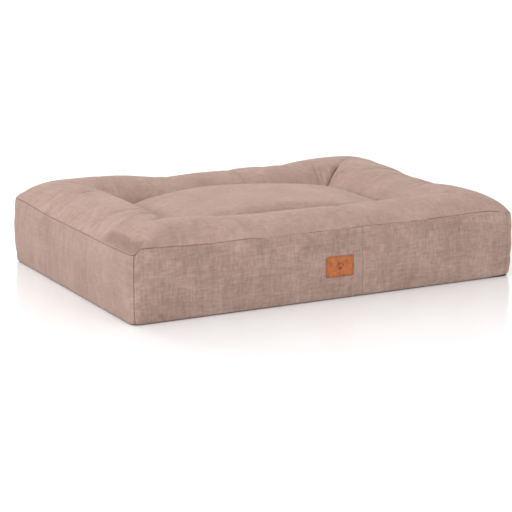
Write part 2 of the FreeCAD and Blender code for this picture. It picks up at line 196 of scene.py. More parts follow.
class Nodes:
    """A material's node tree, with short calls that add and join nodes."""

    def __init__(self, name: str) -> None:
        """Starts a material with only its output and its shader."""
        self.material = bpy.data.materials.new(name)
        self.material.use_nodes = True
        self.tree = self.material.node_tree
        self.tree.nodes.clear()
        self.output = self.add("ShaderNodeOutputMaterial")
        self.shader = self.add("ShaderNodeBsdfPrincipled")
        self.join(self.shader, "BSDF", self.output, "Surface")

    def add(self, kind: str, **settings: object) -> bpy.types.Node:
        """Adds a node of a kind and sets its properties or, by name, its inputs."""
        node = self.tree.nodes.new(kind)
        for name, value in settings.items():
            if hasattr(node, name):
                setattr(node, name, value)
            else:
                node.inputs[name.replace("_", " ")].default_value = value
        return node

    def join(self, source: bpy.types.Node, output: str | int, target: bpy.types.Node,
             socket: str | int) -> None:
        """Joins one node's output to another's input."""
        self.tree.links.new(source.outputs[output], target.inputs[socket])

    def math(self, kind: str, first: object, second: object = 0.0, clamp: bool = False
             ) -> bpy.types.NodeSocket:
        """A math node on two sockets or numbers, given back as its output socket."""
        node = self.add("ShaderNodeMath", operation=kind, use_clamp=clamp)
        for index, value in enumerate((first, second)):
            if isinstance(value, bpy.types.NodeSocket):
                self.tree.links.new(value, node.inputs[index])
            else:
                node.inputs[index].default_value = float(value)
        return node.outputs[0]

    def noise(self, vector: bpy.types.NodeSocket, stretch: tuple[float, float, float],
              detail: float = 2.0, roughness: float = 0.5, turn: float = 0.0
              ) -> bpy.types.NodeSocket:
        """Noise on a vector that is first stretched, as its 0 to 1 value."""
        mapping = self.add("ShaderNodeMapping")
        mapping.inputs["Scale"].default_value = stretch
        mapping.inputs["Rotation"].default_value = (0, 0, turn)
        self.tree.links.new(vector, mapping.inputs["Vector"])
        pattern = self.add("ShaderNodeTexNoise", Scale=1.0, Detail=detail, Roughness=roughness)
        self.join(mapping, 0, pattern, "Vector")
        return pattern.outputs[0]

    def ramp(self, value: bpy.types.NodeSocket, stops: Sequence[tuple[float, tuple]]
             ) -> bpy.types.NodeSocket:
        """A colour ramp on a value."""
        node = self.add("ShaderNodeValToRGB")
        elements = node.color_ramp.elements
        while len(elements) < len(stops):
            elements.new(0.5)
        for element, (position, colour) in zip(elements, stops):
            element.position = position
            element.color = (*colour, 1)
        self.tree.links.new(value, node.inputs[0])
        return node.outputs[0]

    def blend(self, share: object, first: object, second: object, kind: str = "MIX"
              ) -> bpy.types.NodeSocket:
        """A colour mix of two sockets or colours by a share."""
        node = self.add("ShaderNodeMix", data_type="RGBA", blend_type=kind)
        for index, value in ((0, share), (6, first), (7, second)):
            if isinstance(value, bpy.types.NodeSocket):
                self.tree.links.new(value, node.inputs[index])
            elif index == 0:
                node.inputs[index].default_value = float(value)
            else:
                node.inputs[index].default_value = (*value, 1)
        return node.outputs[2]

    def bump(self, height: bpy.types.NodeSocket, strength: float, distance: float,
             under: bpy.types.NodeSocket | None = None) -> bpy.types.NodeSocket:
        """A bump from a height, laid over another bump if one is given."""
        node = self.add("ShaderNodeBump", Strength=strength, Distance=distance)
        self.tree.links.new(height, node.inputs["Height"])
        if under is not None:
            self.tree.links.new(under, node.inputs["Normal"])
        return node.outputs[0]

    def finish(self, colour: bpy.types.NodeSocket, roughness: object,
               normal: bpy.types.NodeSocket | None = None, **shader: object
               ) -> bpy.types.Material:
        """Joins the shader's colour, roughness and normal, and sets its other inputs.

        Args:
            colour: the base colour.
            roughness: a socket or a number.
            normal: the normal, if there is a bump.
            shader: other inputs of the shader by name, with _ for a space.

        Returns:
            The finished material.
        """
        self.tree.links.new(colour, self.shader.inputs["Base Color"])
        if isinstance(roughness, bpy.types.NodeSocket):
            self.tree.links.new(roughness, self.shader.inputs["Roughness"])
        else:
            self.shader.inputs["Roughness"].default_value = roughness
        if normal is not None:
            self.tree.links.new(normal, self.shader.inputs["Normal"])
        for name, value in shader.items():
            self.shader.inputs[name.replace("_", " ")].default_value = value
        return self.material


@dataclass(frozen=True)
class LinenCloth:
    """Heavy linen-look cloth: thick uneven yarns both ways, with a short soft nap.

    It reads the weave map of a piece, whose two axes follow the yarns in metres.
    """

    name: str
    colour: tuple[float, float, float]
    pale: tuple[float, float, float]
    deep: tuple[float, float, float]
    yarn: float = 1.7 * MM
    slub: float = 0.5
    relief: float = 0.5
    evenness: float = 0.15
    sheen: float = 0.12

    def material(self) -> bpy.types.Material:
        """Makes the material.

        Returns:
            The material.
        """
        n = Nodes(self.name)
        where = n.add("ShaderNodeUVMap", uv_map="weave").outputs[0]
        split = n.add("ShaderNodeSeparateXYZ")
        n.tree.links.new(where, split.inputs[0])
        # the yarns wander a little, so the weave isn't a ruled grid
        drift_u = n.math("MULTIPLY", n.noise(where, (30, 30, 1), 1), 1.6 * MM)
        drift_v = n.math("MULTIPLY", n.noise(where, (27, 33, 4), 1), 1.6 * MM)
        u = n.math("MULTIPLY", n.math("ADD", split.outputs[0], drift_u), math.pi / self.yarn)
        v = n.math("MULTIPLY", n.math("ADD", split.outputs[1], drift_v), math.pi / self.yarn)
        warp = n.math("ABSOLUTE", n.math("SINE", u))
        weft = n.math("ABSOLUTE", n.math("SINE", v))
        over = n.math("GREATER_THAN", n.math("MULTIPLY", n.math("SINE", u), n.math("SINE", v)), 0.0)
        under = n.math("SUBTRACT", 1.0, over)
        yarns = n.math("ADD", n.math("MULTIPLY", warp, over), n.math("MULTIPLY", weft, under))
        # slubs: thick places that run along a yarn for a few centimetres
        per_yarn = 0.24 / self.yarn
        slub_up = n.noise(where, (per_yarn, 14, 1), 2, 0.6)
        slub_across = n.noise(where, (14, per_yarn, 1), 2, 0.6)
        bars_up = n.noise(where, (per_yarn * 0.3, 7, 1), 2, 0.6)
        bars_across = n.noise(where, (7, per_yarn * 0.3, 1), 2, 0.6)
        dash = per_yarn * 1.25
        dash_up = n.noise(where, (dash, 48, 3), 1, 0.5)
        dash_across = n.noise(where, (48, dash, 5), 1, 0.5)
        long_ones = n.math("ADD", n.math("ADD", slub_up, slub_across),
                           n.math("ADD", bars_up, bars_across))
        dashes = n.math("ADD", dash_up, dash_across)
        slubs = n.math("MULTIPLY", n.math("ADD", long_ones, n.math("MULTIPLY", dashes, 1.5)), 1 / 7)
        blotch = n.noise(where, (9, 9, 1), 3, 0.55)
        worn = n.math("ADD", n.math("MULTIPLY", slubs, 0.72), n.math("MULTIPLY", blotch, 0.28))
        spread = self.evenness
        tone = n.ramp(worn, [(0.5 - spread, self.deep), (0.5, self.colour),
                             (0.5 + spread, self.pale)])
        shaded = n.blend(n.math("MULTIPLY", n.math("SUBTRACT", 1.0, yarns), 0.42, True), tone,
                         tuple(c * 0.45 for c in self.deep))
        # painted shade from the seam attribute: darker in seams, mitre creases and the left recess
        seam = n.add("ShaderNodeAttribute", attribute_name="seam").outputs["Fac"]
        shaded = n.blend(n.math("MULTIPLY", seam, 0.55, True), shaded,
                         tuple(c * 0.3 for c in self.deep))
        lift = n.math("ADD", n.math("MULTIPLY", yarns, 0.6), n.math("MULTIPLY", slubs, self.slub))
        weave = n.bump(lift, self.relief, 0.7 * MM)
        rough = n.math("ADD", 0.82, n.math("MULTIPLY", slubs, 0.16), True)
        return n.finish(shaded, rough, weave, Sheen_Weight=self.sheen, Sheen_Roughness=0.45,
                        Sheen_Tint=(1.0, 0.86, 0.80, 1), Specular_IOR_Level=0.18)


@dataclass(frozen=True)
class PlainCanvas:
    """A plain close weave read from object coordinates, for the base, deck and tapes."""

    name: str
    colour: tuple[float, float, float]
    thread: float = 0.8 * MM
    rough: float = 0.9
    axes: tuple[int, int] = (0, 1)

    def material(self) -> bpy.types.Material:
        """Makes the material.

        Returns:
            The material.
        """
        n = Nodes(self.name)
        where = n.add("ShaderNodeTexCoord").outputs["Object"]
        split = n.add("ShaderNodeSeparateXYZ")
        n.tree.links.new(where, split.inputs[0])
        turns = math.pi / self.thread
        first = n.math("SINE", n.math("MULTIPLY", split.outputs[self.axes[0]], turns))
        second = n.math("SINE", n.math("MULTIPLY", split.outputs[self.axes[1]], turns))
        weave = n.math("ABSOLUTE", n.math("MULTIPLY", first, second))
        wear = n.noise(where, (18, 18, 18), 4, 0.6)
        dark = tuple(c * 0.6 for c in self.colour)
        worn = tuple(c * 0.93 for c in self.colour)
        pale = tuple(min(1.0, c * 1.08) for c in self.colour)
        tone = n.ramp(wear, [(0.3, worn), (0.55, self.colour), (0.8, pale)])
        shaded = n.blend(n.math("MULTIPLY", weave, 0.35), tone, dark)
        normal = n.bump(weave, 0.5, 0.3 * MM)
        return n.finish(shaded, self.rough, normal, Specular_IOR_Level=0.2, Sheen_Weight=0.1)


@dataclass(frozen=True)
class Leather:
    """Smooth orange-tan leather with a fine grain and darker worn edges."""

    name: str = "label_leather"
    colour: tuple[float, float, float] = (0.36, 0.100, 0.022)
    deep: tuple[float, float, float] = (0.13, 0.030, 0.008)

    def material(self) -> bpy.types.Material:
        """Makes the material.

        Returns:
            The material.
        """
        n = Nodes(self.name)
        where = n.add("ShaderNodeTexCoord").outputs["Object"]
        mottle = n.noise(where, (70, 70, 70), 4, 0.6)
        streaks = n.noise(where, (420, 420, 60), 3, 0.6)
        uneven = n.math("MULTIPLY", n.math("ADD", mottle, streaks), 0.5)
        tone = n.ramp(uneven, [(0.36, tuple(c * 0.62 for c in self.colour)), (0.5, self.colour),
                               (0.62, tuple(min(1.0, c * 1.35) for c in self.colour))])
        burnt = n.add("ShaderNodeAttribute", attribute_name="burnt").outputs["Fac"]
        colour = n.blend(burnt, tone, self.deep)
        cells = n.add("ShaderNodeTexVoronoi", Scale=1400.0)
        n.tree.links.new(where, cells.inputs["Vector"])
        grain = n.bump(cells.outputs["Distance"], 0.25, 0.15 * MM)
        soft = n.bump(mottle, 0.2, 0.4 * MM, grain)
        rough = n.math("ADD", 0.42, n.math("MULTIPLY", mottle, 0.22))
        return n.finish(colour, rough, soft, Specular_IOR_Level=0.45)


@dataclass(frozen=True)
class Thread:
    """Twisted sewing thread."""

    name: str
    colour: tuple[float, float, float]

    def material(self) -> bpy.types.Material:
        """Makes the material.

        Returns:
            The material.
        """
        n = Nodes(self.name)
        where = n.add("ShaderNodeTexCoord").outputs["Object"]
        twist = n.add("ShaderNodeTexWave", Scale=900.0, Distortion=2.0, bands_direction="DIAGONAL")
        n.tree.links.new(where, twist.inputs["Vector"])
        colour = n.ramp(twist.outputs["Fac"], [(0.2, tuple(c * 0.6 for c in self.colour)),
                                               (0.8, self.colour)])
        normal = n.bump(twist.outputs["Fac"], 0.4, 0.15 * MM)
        return n.finish(colour, 0.6, normal, Sheen_Weight=0.15)


@dataclass(frozen=True)
class Moulded:
    """Nylon or foam: a plain tone that varies a little, with fine pores."""

    name: str
    colour: tuple[float, float, float]
    rough: float = 0.5
    pores: float = 900.0
    relief: float = 0.2

    def material(self) -> bpy.types.Material:
        """Makes the material.

        Returns:
            The material.
        """
        n = Nodes(self.name)
        where = n.add("ShaderNodeTexCoord").outputs["Object"]
        patch = n.noise(where, (40, 40, 40), 3, 0.6)
        colour = n.ramp(patch, [(0.3, tuple(c * 0.8 for c in self.colour)), (0.7, self.colour)])
        cells = n.add("ShaderNodeTexVoronoi", Scale=self.pores)
        n.tree.links.new(where, cells.inputs["Vector"])
        normal = n.bump(cells.outputs["Distance"], self.relief, 0.4 * MM)
        rough = n.math("ADD", self.rough - 0.06, n.math("MULTIPLY", patch, 0.12), True)
        return n.finish(colour, rough, normal)


@dataclass(frozen=True)
class AntiqueMetal:
    """Cast metal with a brassy, worn finish."""

    name: str = "zip_metal"
    colour: tuple[float, float, float] = (0.42, 0.33, 0.22)
    dark: tuple[float, float, float] = (0.10, 0.075, 0.05)

    def material(self) -> bpy.types.Material:
        """Makes the material.

        Returns:
            The material.
        """
        n = Nodes(self.name)
        where = n.add("ShaderNodeTexCoord").outputs["Object"]
        tarnish = n.noise(where, (300, 300, 300), 5, 0.65)
        colour = n.ramp(tarnish, [(0.35, self.dark), (0.6, self.colour)])
        scratches = n.noise(where, (2500, 300, 600), 2, 0.5, 0.5)
        normal = n.bump(scratches, 0.15, 0.1 * MM)
        rough = n.math("ADD", 0.28, n.math("MULTIPLY", tarnish, 0.3))
        return n.finish(colour, rough, normal, Metallic=1.0)


class Finishes:
    """Every finish of the bed, made once."""

    def __init__(self) -> None:
        """Makes the materials."""
        rose = {"colour": (0.350, 0.237, 0.200), "pale": (0.50, 0.36, 0.315),
                "deep": (0.215, 0.137, 0.110)}
        soft = {"colour": (0.365, 0.246, 0.205), "pale": (0.455, 0.318, 0.270),
                "deep": (0.28, 0.183, 0.149)}
        self.wall = LinenCloth("wall_cloth", **rose).material()
        self.side_wall = LinenCloth("side_wall_cloth", **rose, evenness=0.26,
                                    relief=0.35).material()
        self.bolster = LinenCloth("bolster_cloth", **soft, relief=0.35).material()
        self.cushion = LinenCloth("cushion_cloth", **soft, relief=0.3, slub=0.35,
                                  evenness=0.16).material()
        self.base = PlainCanvas("base_cloth", (0.045, 0.028, 0.022)).material()
        self.dots = Moulded("non_slip_dots", (0.03, 0.022, 0.02), 0.35, 1500.0, 0.1).material()
        self.deck = PlainCanvas("deck_cloth", (0.56, 0.49, 0.42), 0.9 * MM).material()
        self.leather = Leather().material()
        self.label_thread = Thread("label_thread", (0.20, 0.065, 0.02)).material()
        self.tape = PlainCanvas("zip_tape", (0.27, 0.185, 0.15), 0.5 * MM, 0.8, (0, 2)).material()
        self.coil = Moulded("zip_coil", (0.25, 0.175, 0.14), 0.35, 2500.0, 0.1).material()
        self.metal = AntiqueMetal().material()
        self.foam = Moulded("foam", (0.80, 0.74, 0.56), 0.9, 700.0, 0.8).material()


# ---- the sewn cover ----------------------------------------------------------------------


class Side(Enum):
    """The four sides of the bed, in order round it, with the turn that each makes."""

    FRONT = 0
    RIGHT = 1
    BACK = 2
    LEFT = 3


@dataclass(frozen=True)
class Fold:
    """A soft ridge or valley of cloth along a line in plan, such as a pull or a tuck.

    Its ends fade out. A height below 0 makes a valley.
    """

    start: tuple[float, float]
    end: tuple[float, float]
    height: float
    width: float
    bow: float = 0.0

    def lift(self, x: float, y: float) -> float:
        """How far the fold lifts the cloth at a point in plan.

        Args:
            x: the first coordinate of the fold's plane.
            y: the second coordinate.

        Returns:
            The lift in metres.
        """
        ax, ay = self.start
        dx, dy = self.end[0] - ax, self.end[1] - ay
        run = math.hypot(dx, dy)
        along = ((x - ax) * dx + (y - ay) * dy) / (run * run)
        if along < -0.3 or along > 1.3:
            return 0.0
        aside = ((x - ax) * dy - (y - ay) * dx) / run
        aside -= self.bow * 4 * along * (1 - along)
        if abs(aside) > 4 * self.width:
            return 0.0
        fade = ease((along + 0.25) / 0.4) * ease((1.25 - along) / 0.4)
        ridge = bump(aside, self.width) - 0.45 * bump(aside - 2.1 * self.width, self.width)
        return self.height * fade * ridge


@dataclass(frozen=True)
class Station:
    """One column of the cover's grid: a place on a side, or an angle round the next corner."""

    side: Side
    along: float
    angle: float | None = None


@dataclass
class SewnCover:
    """The ring of cloth round the bed, from the walls' foot over the bolsters to the deck."""

    half_length: float
    half_width: float
    seam_height: float
    crest_height: float
    deck_height: float
    foot: float = 1.0 * MM
    corner_radius: float = 22 * MM
    crest_inset: float = 88 * MM
    crest_radius: float = 62 * MM
    bolster_width: float = 201 * MM
    crease_height: float = 150 * MM
    inner_radius: float = 24 * MM
    spacing: float = 6 * MM
    seam_depth: float = 2.6 * MM
    bolster_join: float = 76 * MM
    wall_join: float = 82 * MM
    zip_level: float = 45 * MM
    zip_gap: float = 5.5 * MM
    zip_half: float = 432 * MM
    corner_seam: float = math.radians(52)
    wall_swell: float = 0.45
    top_swell: float = 0.8
    corner_dip: float = 9 * MM
    dip_length: float = 85 * MM
    corner_lift: float = 3 * MM
    seam_raise: float = 1.5 * MM
    crest_sag: float = 12 * MM
    left_rise: float = 11.5 * MM
    right_shift: float = 18 * MM
    back_shift: float = 7 * MM
    left_shift: float = 22 * MM
    stations: list[Station] = field(default_factory=list)
    rows: list[tuple[float, float]] = field(default_factory=list)
    seam_row: int = 0

    def __post_init__(self) -> None:
        """Lays out the columns and rows of the grid."""
        self.stations = self._lay_stations()
        self.rows = self._lay_rows()

    # -- the grid

    def _lay_stations(self) -> list[Station]:
        """The columns of the grid, once round the bed from the front's left end.

        Returns:
            The stations in order.
        """
        found: list[Station] = []
        seam = 1.5 * MM
        for side in Side:
            long_side = side in (Side.FRONT, Side.BACK)
            half = (self.half_length if long_side else self.half_width) - self.corner_radius
            stops = [-half, half]
            marks: list[float] = []
            if side is Side.FRONT:
                marks = [self.bolster_join, self.wall_join]
            if side is Side.BACK:
                marks = [-self.bolster_join, -self.zip_half, self.zip_half]
            for mark in marks:
                stops += [mark - seam, mark, mark + seam]
            if long_side:
                stops += [-half + seam, half - seam]
            stops = self._apart(sorted(set(stops)))
            for low, high in zip(stops, stops[1:]):
                count = max(1, round((high - low) / self.spacing))
                found += [Station(side, mix(low, high, i / count)) for i in range(count)]
            angles = (0, 10, 20, 30, 38, 43, 45, 47, 52, 60, 70, 80)
            found += [Station(side, half, math.radians(a)) for a in angles]
        return found

    @staticmethod
    def _apart(stops: list[float]) -> list[float]:
        """Sorted places without those that nearly repeat the one before."""
        kept = stops[:1]
        kept += [stop for before, stop in zip(stops, stops[1:]) if stop - before > 0.05 * MM]
        return kept

    def _lay_rows(self) -> list[tuple[float, float]]:
        """The rows of the grid as inset and height, from the walls' foot to the deck.

        Returns:
            The rows in order.
        """
        seam = self.seam_height
        wall = [(5 * MM, self.foot), (1.6 * MM, self.foot + 1.2 * MM),
                (0.2 * MM, self.foot + 5 * MM)]
        marks = [self.foot + 10 * MM, self.zip_level - self.zip_gap, self.zip_level,
                 self.zip_level + self.zip_gap, seam - 5 * MM]
        for low, high in zip(marks, marks[1:]):
            count = max(1, round((high - low) / self.spacing))
            wall += [(0.0, mix(low, high, i / count)) for i in range(count)]
        wall += [(0.0, seam - 5 * MM), (0.5 * MM, seam - 1.6 * MM), (self.seam_depth, seam)]
        self.seam_row = len(wall) - 1
        top = [(0.3 * MM, seam + 1.8 * MM)]
        near, far = self.crest_inset, self.bolster_width - self.crest_inset
        drop_out, drop_in = self.crest_height - seam, self.crest_height - self.crease_height
        outer = (near ** 2 + drop_out ** 2) / (2 * drop_out)
        inner = (far ** 2 + drop_in ** 2) / (2 * drop_in)
        sweep_out, sweep_in = math.asin(near / outer), math.asin(far / inner)
        steps = round(sweep_out * outer / self.spacing)
        for i in range(1, steps):
            turn = sweep_out * (1 - i / steps)
            top.append((near - outer * math.sin(turn),
                        self.crest_height - outer * (1 - math.cos(turn))))
        steps = round(sweep_in * inner / self.spacing)
        for i in range(steps):
            turn = sweep_in * i / steps
            top.append((near + inner * math.sin(turn),
                        self.crest_height - inner * (1 - math.cos(turn))))
        depth = self.crease_height - self.deck_height
        steps = round(depth / (1.3 * self.spacing))
        top += [(self.bolster_width, self.crease_height - depth * i / steps)
                for i in range(steps + 1)]
        return wall + top

    def corner_at(self, inset: float) -> float:
        """The corner radius in plan of the line at an inset from the wall."""
        if inset < self.crest_inset:
            return mix(self.corner_radius, self.crest_radius, ease(inset / self.crest_inset))
        share = (inset - self.crest_inset) / (self.bolster_width - self.crest_inset)
        return mix(self.crest_radius, self.inner_radius, ease(share))

    def place(self, station: Station, inset: float, height: float) -> Vector:
        """The point of the cover at a station, an inset from the wall and a height.

        Args:
            station: the column.
            inset: how far in from the wall's plane.
            height: the height above the floor.

        Returns:
            The point.
        """
        long_side = station.side in (Side.FRONT, Side.BACK)
        half = self.half_length if long_side else self.half_width
        across = self.half_width if long_side else self.half_length
        radius = self.corner_at(max(0.0, inset))
        end = half - inset - radius
        if station.angle is None:
            core = 250 * MM if long_side else 110 * MM
            reach = half - self.corner_radius
            along = abs(station.along)
            if along > core:
                along = core + (along - core) * (end - core) / (reach - core)
            x, y = math.copysign(along, station.along), inset
        else:
            x = end + radius * math.sin(station.angle)
            y = inset + radius * (1 - math.cos(station.angle))
        turn = Matrix.Rotation(station.side.value * math.pi / 2, 3, "Z")
        return turn @ Vector((x, y - across, height))

    def build(self) -> bpy.types.Object:
        """Makes the whole ring as one mesh: weave map, painted seam shade, pins and grid numbers.

        Returns:
            The ring's object.
        """
        columns, rows = len(self.stations), len(self.rows)
        work = bmesh.new()
        weave = work.loops.layers.uv.new("weave")
        column_layer = work.faces.layers.int.new("column")
        row_layer = work.faces.layers.int.new("row")
        number = work.verts.layers.int.new("grid")
        # the seam layer carries painted shade for seams, mitre creases and the left recess
        painted_shade_layer = work.verts.layers.float.new("seam")
        bmesh.ops.create_grid(work, x_segments=columns, y_segments=rows - 1, size=1.0)
        column_of, row_of = {}, {}
        for vertex in work.verts:
            column_of[vertex] = round((vertex.co.x + 1) / 2 * columns)
            row_of[vertex] = round((vertex.co.y + 1) / 2 * (rows - 1))
        lengths = self._section_lengths()
        round_length = self._round_lengths()
        for vertex in work.verts:
            vertex[number] = (column_of[vertex] % columns) * rows + row_of[vertex]
            vertex[painted_shade_layer] = self._painted_shade_at(column_of[vertex] % columns, row_of[vertex])
        for face in work.faces:
            first = min(column_of[v] for v in face.verts)
            low = min(row_of[v] for v in face.verts)
            face[column_layer], face[row_layer] = first, low
            side = self.top_side(first)
            for loop in face.loops:
                row, column = row_of[loop.vert], column_of[loop.vert]
                if low < self.seam_row:
                    across = round_length[column]
                else:
                    station = self.stations[column % columns]
                    spot = self.place(station, *self.rows[row])
                    turn = Matrix.Rotation(-side.value * math.pi / 2, 3, "Z")
                    across = (turn @ spot).x + side.value * 3.0
                loop[weave].uv = (across, lengths[row])
        for vertex in work.verts:
            column = column_of[vertex] % columns
            vertex.co = self.rest_point(column, row_of[vertex])
        bmesh.ops.remove_doubles(work, verts=work.verts[:], dist=0.01 * MM)
        bmesh.ops.recalc_face_normals(work, faces=work.faces[:])
        ring = finish_bmesh(work, "cover_ring")
        self._pin(ring)
        return ring

    def _section_lengths(self) -> list[float]:
        """The length of cloth from the foot to each row."""
        lengths = [0.0]
        for (d0, z0), (d1, z1) in zip(self.rows, self.rows[1:]):
            lengths.append(lengths[-1] + math.hypot(d1 - d0, z1 - z0))
        return lengths

    def _round_lengths(self) -> list[float]:
        """The length round the wall from the first station to each, and to the first again."""
        spots = [self.place(s, 0.0, 0.0) for s in self.stations]
        spots.append(spots[0])
        lengths = [0.0]
        for first, second in zip(spots, spots[1:]):
            lengths.append(lengths[-1] + (second - first).length)
        return lengths

    def top_side(self, column: int) -> Side:
        """The bolster that a column of faces belongs to: corners part at 45 degrees."""
        station = self.stations[column % len(self.stations)]
        if station.angle is not None and station.angle > math.radians(44.9):
            return Side((station.side.value + 1) % 4)
        return station.side

    @staticmethod
    def _at_front_join(station: Station) -> bool:
        """Whether a station lies on the front between its corners, where its join is flat."""
        return station.side is Side.FRONT and station.angle is None

    def _joined(self, station: Station, wall: bool) -> float:
        """How much of a sewn join lies at a station: 1 on its line, else 0.

        Args:
            station: the column.
            wall: whether the wall is meant, and not the bolsters.

        Returns:
            0 or 1.
        """
        if station.angle is not None:
            if wall:
                seam = self.corner_seam if station.side is Side.LEFT else 0.0
                has_seam = station.side is not Side.RIGHT
                return 1.0 if has_seam and abs(station.angle - seam) < 0.01 else 0.0
            return 1.0 if abs(station.angle - math.radians(45)) < 0.01 else 0.0
        if wall:
            reach = self.half_length - self.corner_radius
            lines = {Side.FRONT: (self.wall_join,), Side.BACK: (-reach,)}.get(station.side, ())
        else:
            lines = {Side.FRONT: (self.bolster_join,), Side.BACK: (-self.bolster_join,)}.get(
                station.side, ())
        return 1.0 if any(abs(station.along - line) < 0.01 * MM for line in lines) else 0.0

    def rest_point(self, column: int, row: int) -> Vector:
        """Where a grid point lies before the cover is pumped up.

        Args:
            column: the grid column.
            row: the grid row.

        Returns:
            The point.
        """
        station = self.stations[column]
        inset, height = self.rows[row]
        if row <= self.seam_row:
            share = height / self.seam_height
            swell = 5 * MM * math.sin(math.pi * min(1.0, max(0.0, share))) ** 0.8
            if station.side is Side.BACK and station.angle is None:
                swell *= 1 - bump(height - self.zip_level, 22 * MM)
            inset -= swell
            groove = (0.7 if self._at_front_join(station) else 1.4) * MM
            inset += groove * self._joined(station, True)
            height += self.seam_wave(station) * max(0.0, share) ** 2
            height += self.foot_lift(station) * max(0.0, 1 - share) ** 2
            return self._swollen(station, inset, height)
        return self._bolster_point(station, inset, height)

    def _bolster_point(self, station: Station, inset: float, height: float) -> Vector:
        """Where a point of the bolsters lies before the cover is pumped up.

        Args:
            station: the column.
            inset: how far in from the wall's plane its row lies.
            height: its row's height.

        Returns:
            The point.
        """
        spot = self.place(station, inset, height)
        low = self.seam_height if inset < self.crest_inset else self.crease_height
        full = max(0.0, (height - low) / (self.crest_height - low))
        near_seam = max(0.0, 1 - full) if inset < self.crest_inset else 0.0
        height += self.crest_change(spot.x, spot.y) * full ** 0.7
        height += self.seam_wave(station) * near_seam
        inside = (inset - self.crest_inset) / (self.bolster_width - self.crest_inset)
        across = math.sin(math.pi * min(1.0, inset / self.bolster_width))
        inset += self.left_shift * self.leftness(station) * across
        joined = self._joined(station, False)
        if station.angle is not None:
            near = bump(math.degrees(station.angle) - 45, 5)
            height -= 9 * MM * near * ease(inside + 0.25) * ease((height - self.deck_height) / 0.03)
        elif joined:
            deep = 3.5 * MM if station.side is Side.BACK else 1.6 * MM
            height -= deep * ease((height - self.deck_height) / 0.03)
        spot = self.place(station, inset, height)
        inner = ease(inset / self.bolster_width)
        spot.x -= self.right_shift * inner * ease((spot.x - 0.05) / 0.22)
        spot.y += self.back_shift * inner * ease(spot.y / 0.15)
        return spot

    def _painted_shade_at(self, column: int, row: int) -> float:
        """Painted shade, 0 to 1, where the cloth dips into a seam, a mitre or the left recess."""
        station = self.stations[column]
        if row == self.seam_row:
            return 0.75
        if row < self.seam_row:
            strong = station.side is Side.LEFT
            return (0.8 if strong else 0.35) * self._joined(station, True)
        inset, height = self.rows[row]
        joined = self._joined(station, False)
        if station.angle is not None and joined:
            return 0.35 * ease((inset - self.crest_inset) / (60 * MM))
        if station.side is Side.LEFT and height < self.crest_height - 3 * MM:
            # painted shade in the recess behind the left wall's edge, near the front
            return max(0.2 * joined, 0.55 * self._sunk(self.place(station, inset, height), inset))
        return 0.2 * joined

    def _swollen(self, station: Station, inset: float, height: float) -> Vector:
        """A wall point whose inset may be below 0, where the wall swells out."""
        flat = self.place(station, max(0.0, inset), height)
        if inset >= 0:
            return flat
        nearer = self.place(station, 1 * MM, height)
        outward = (flat - nearer).normalized()
        return flat + outward * -inset

    def seam_wave(self, station: Station) -> float:
        """How far the top seam strays from level at a station."""
        spot = self.place(station, 0.0, 0.0)
        wander = noise.noise(Vector((spot.x * 9, spot.y * 9, 4.2))) * 2.4 * MM
        end = math.hypot(self.half_length - abs(spot.x), self.half_width - abs(spot.y))
        right_end = ease((spot.x + 100 * MM) / (200 * MM))
        dip = right_end * self.corner_dip * ease(1 - end / self.dip_length)
        step = ease((spot.x + 0.30) / -0.20) * 5.5 * MM if station.side is Side.FRONT else 0.0
        if station.side is Side.LEFT:
            low = -3 * MM - 6 * MM * ease((spot.y - 0.34) / -0.20)
            step = low
            if station.angle is not None:
                past_seam = station.angle - self.corner_seam
                step = mix(low, 5.5 * MM, ease(past_seam / (math.pi / 2 - self.corner_seam)))
        return wander + self.seam_raise - dip + step

    def foot_lift(self, station: Station) -> float:
        """How far the walls' foot lifts off the floor at a station: the corners curl up."""
        spot = self.place(station, 0.0, 0.0)
        end = math.hypot(self.half_length - abs(spot.x), self.half_width - abs(spot.y))
        return self.corner_lift * ease(1 - end / self.dip_length) * ease((spot.x + 0.1) / 0.2)

    def crest_change(self, x: float, y: float) -> float:
        """How much higher the bolsters' crest is at a place than at its even height."""
        end = math.hypot(max(0.0, self.half_length - 90 * MM - abs(x)),
                         max(0.0, self.half_width - 90 * MM - abs(y)))
        sag = self.crest_sag * mix(0.62, 1.0, ease(end / 0.26))
        along = bump(x + 0.22, 0.09) * 4.5 - bump(x + 0.40, 0.08) * 3
        back_left = along * ease((y - 0.20) / 0.08) * MM
        return self.left_rise * ease((-x - 0.12) / 0.28) - sag + back_left

    @staticmethod
    def leftness(station: Station) -> float:
        """How much a station belongs to the left side: 1 on it, fading round its corners."""
        if station.angle is None:
            return 1.0 if station.side is Side.LEFT else 0.0
        turned = station.angle / (math.pi / 2)
        return {Side.BACK: turned, Side.LEFT: 1 - turned}.get(station.side, 0.0)

    def _pin(self, ring: bpy.types.Object) -> None:
        """Makes the vertex group that holds the ring's seams while it is pumped up."""
        group = ring.vertex_groups.new(name="pins")
        for index, (column, row) in enumerate(self.grid_places(ring)):
            weight = self._hold(self.stations[column], row)
            if weight > 0:
                group.add([index], weight, "REPLACE")

    def grid_places(self, ring: bpy.types.Object) -> list[tuple[int, int]]:
        """The column and row of each vertex of the ring."""
        return [divmod(item.value, len(self.rows)) for item in ring.data.attributes["grid"].data]

    def _hold(self, station: Station, row: int) -> float:
        """How firmly a grid point is held, from 0 to 1."""
        inset, height = self.rows[row]
        if row < 3 or row == self.seam_row or row == len(self.rows) - 1:
            return 1.0
        if row < self.seam_row:
            near_zip = abs(height - self.zip_level) < self.zip_gap + 0.1 * MM
            if station.side is Side.BACK and station.angle is None and near_zip:
                return 1.0
            return 0.8 * self._joined(station, True)
        joined = self._joined(station, False)
        if station.angle is not None:
            inside = (inset - self.crest_inset) / (self.bolster_width - self.crest_inset)
            return joined * ease(inside + 0.3)
        return joined * (0.9 if station.side is Side.BACK else 0.7)

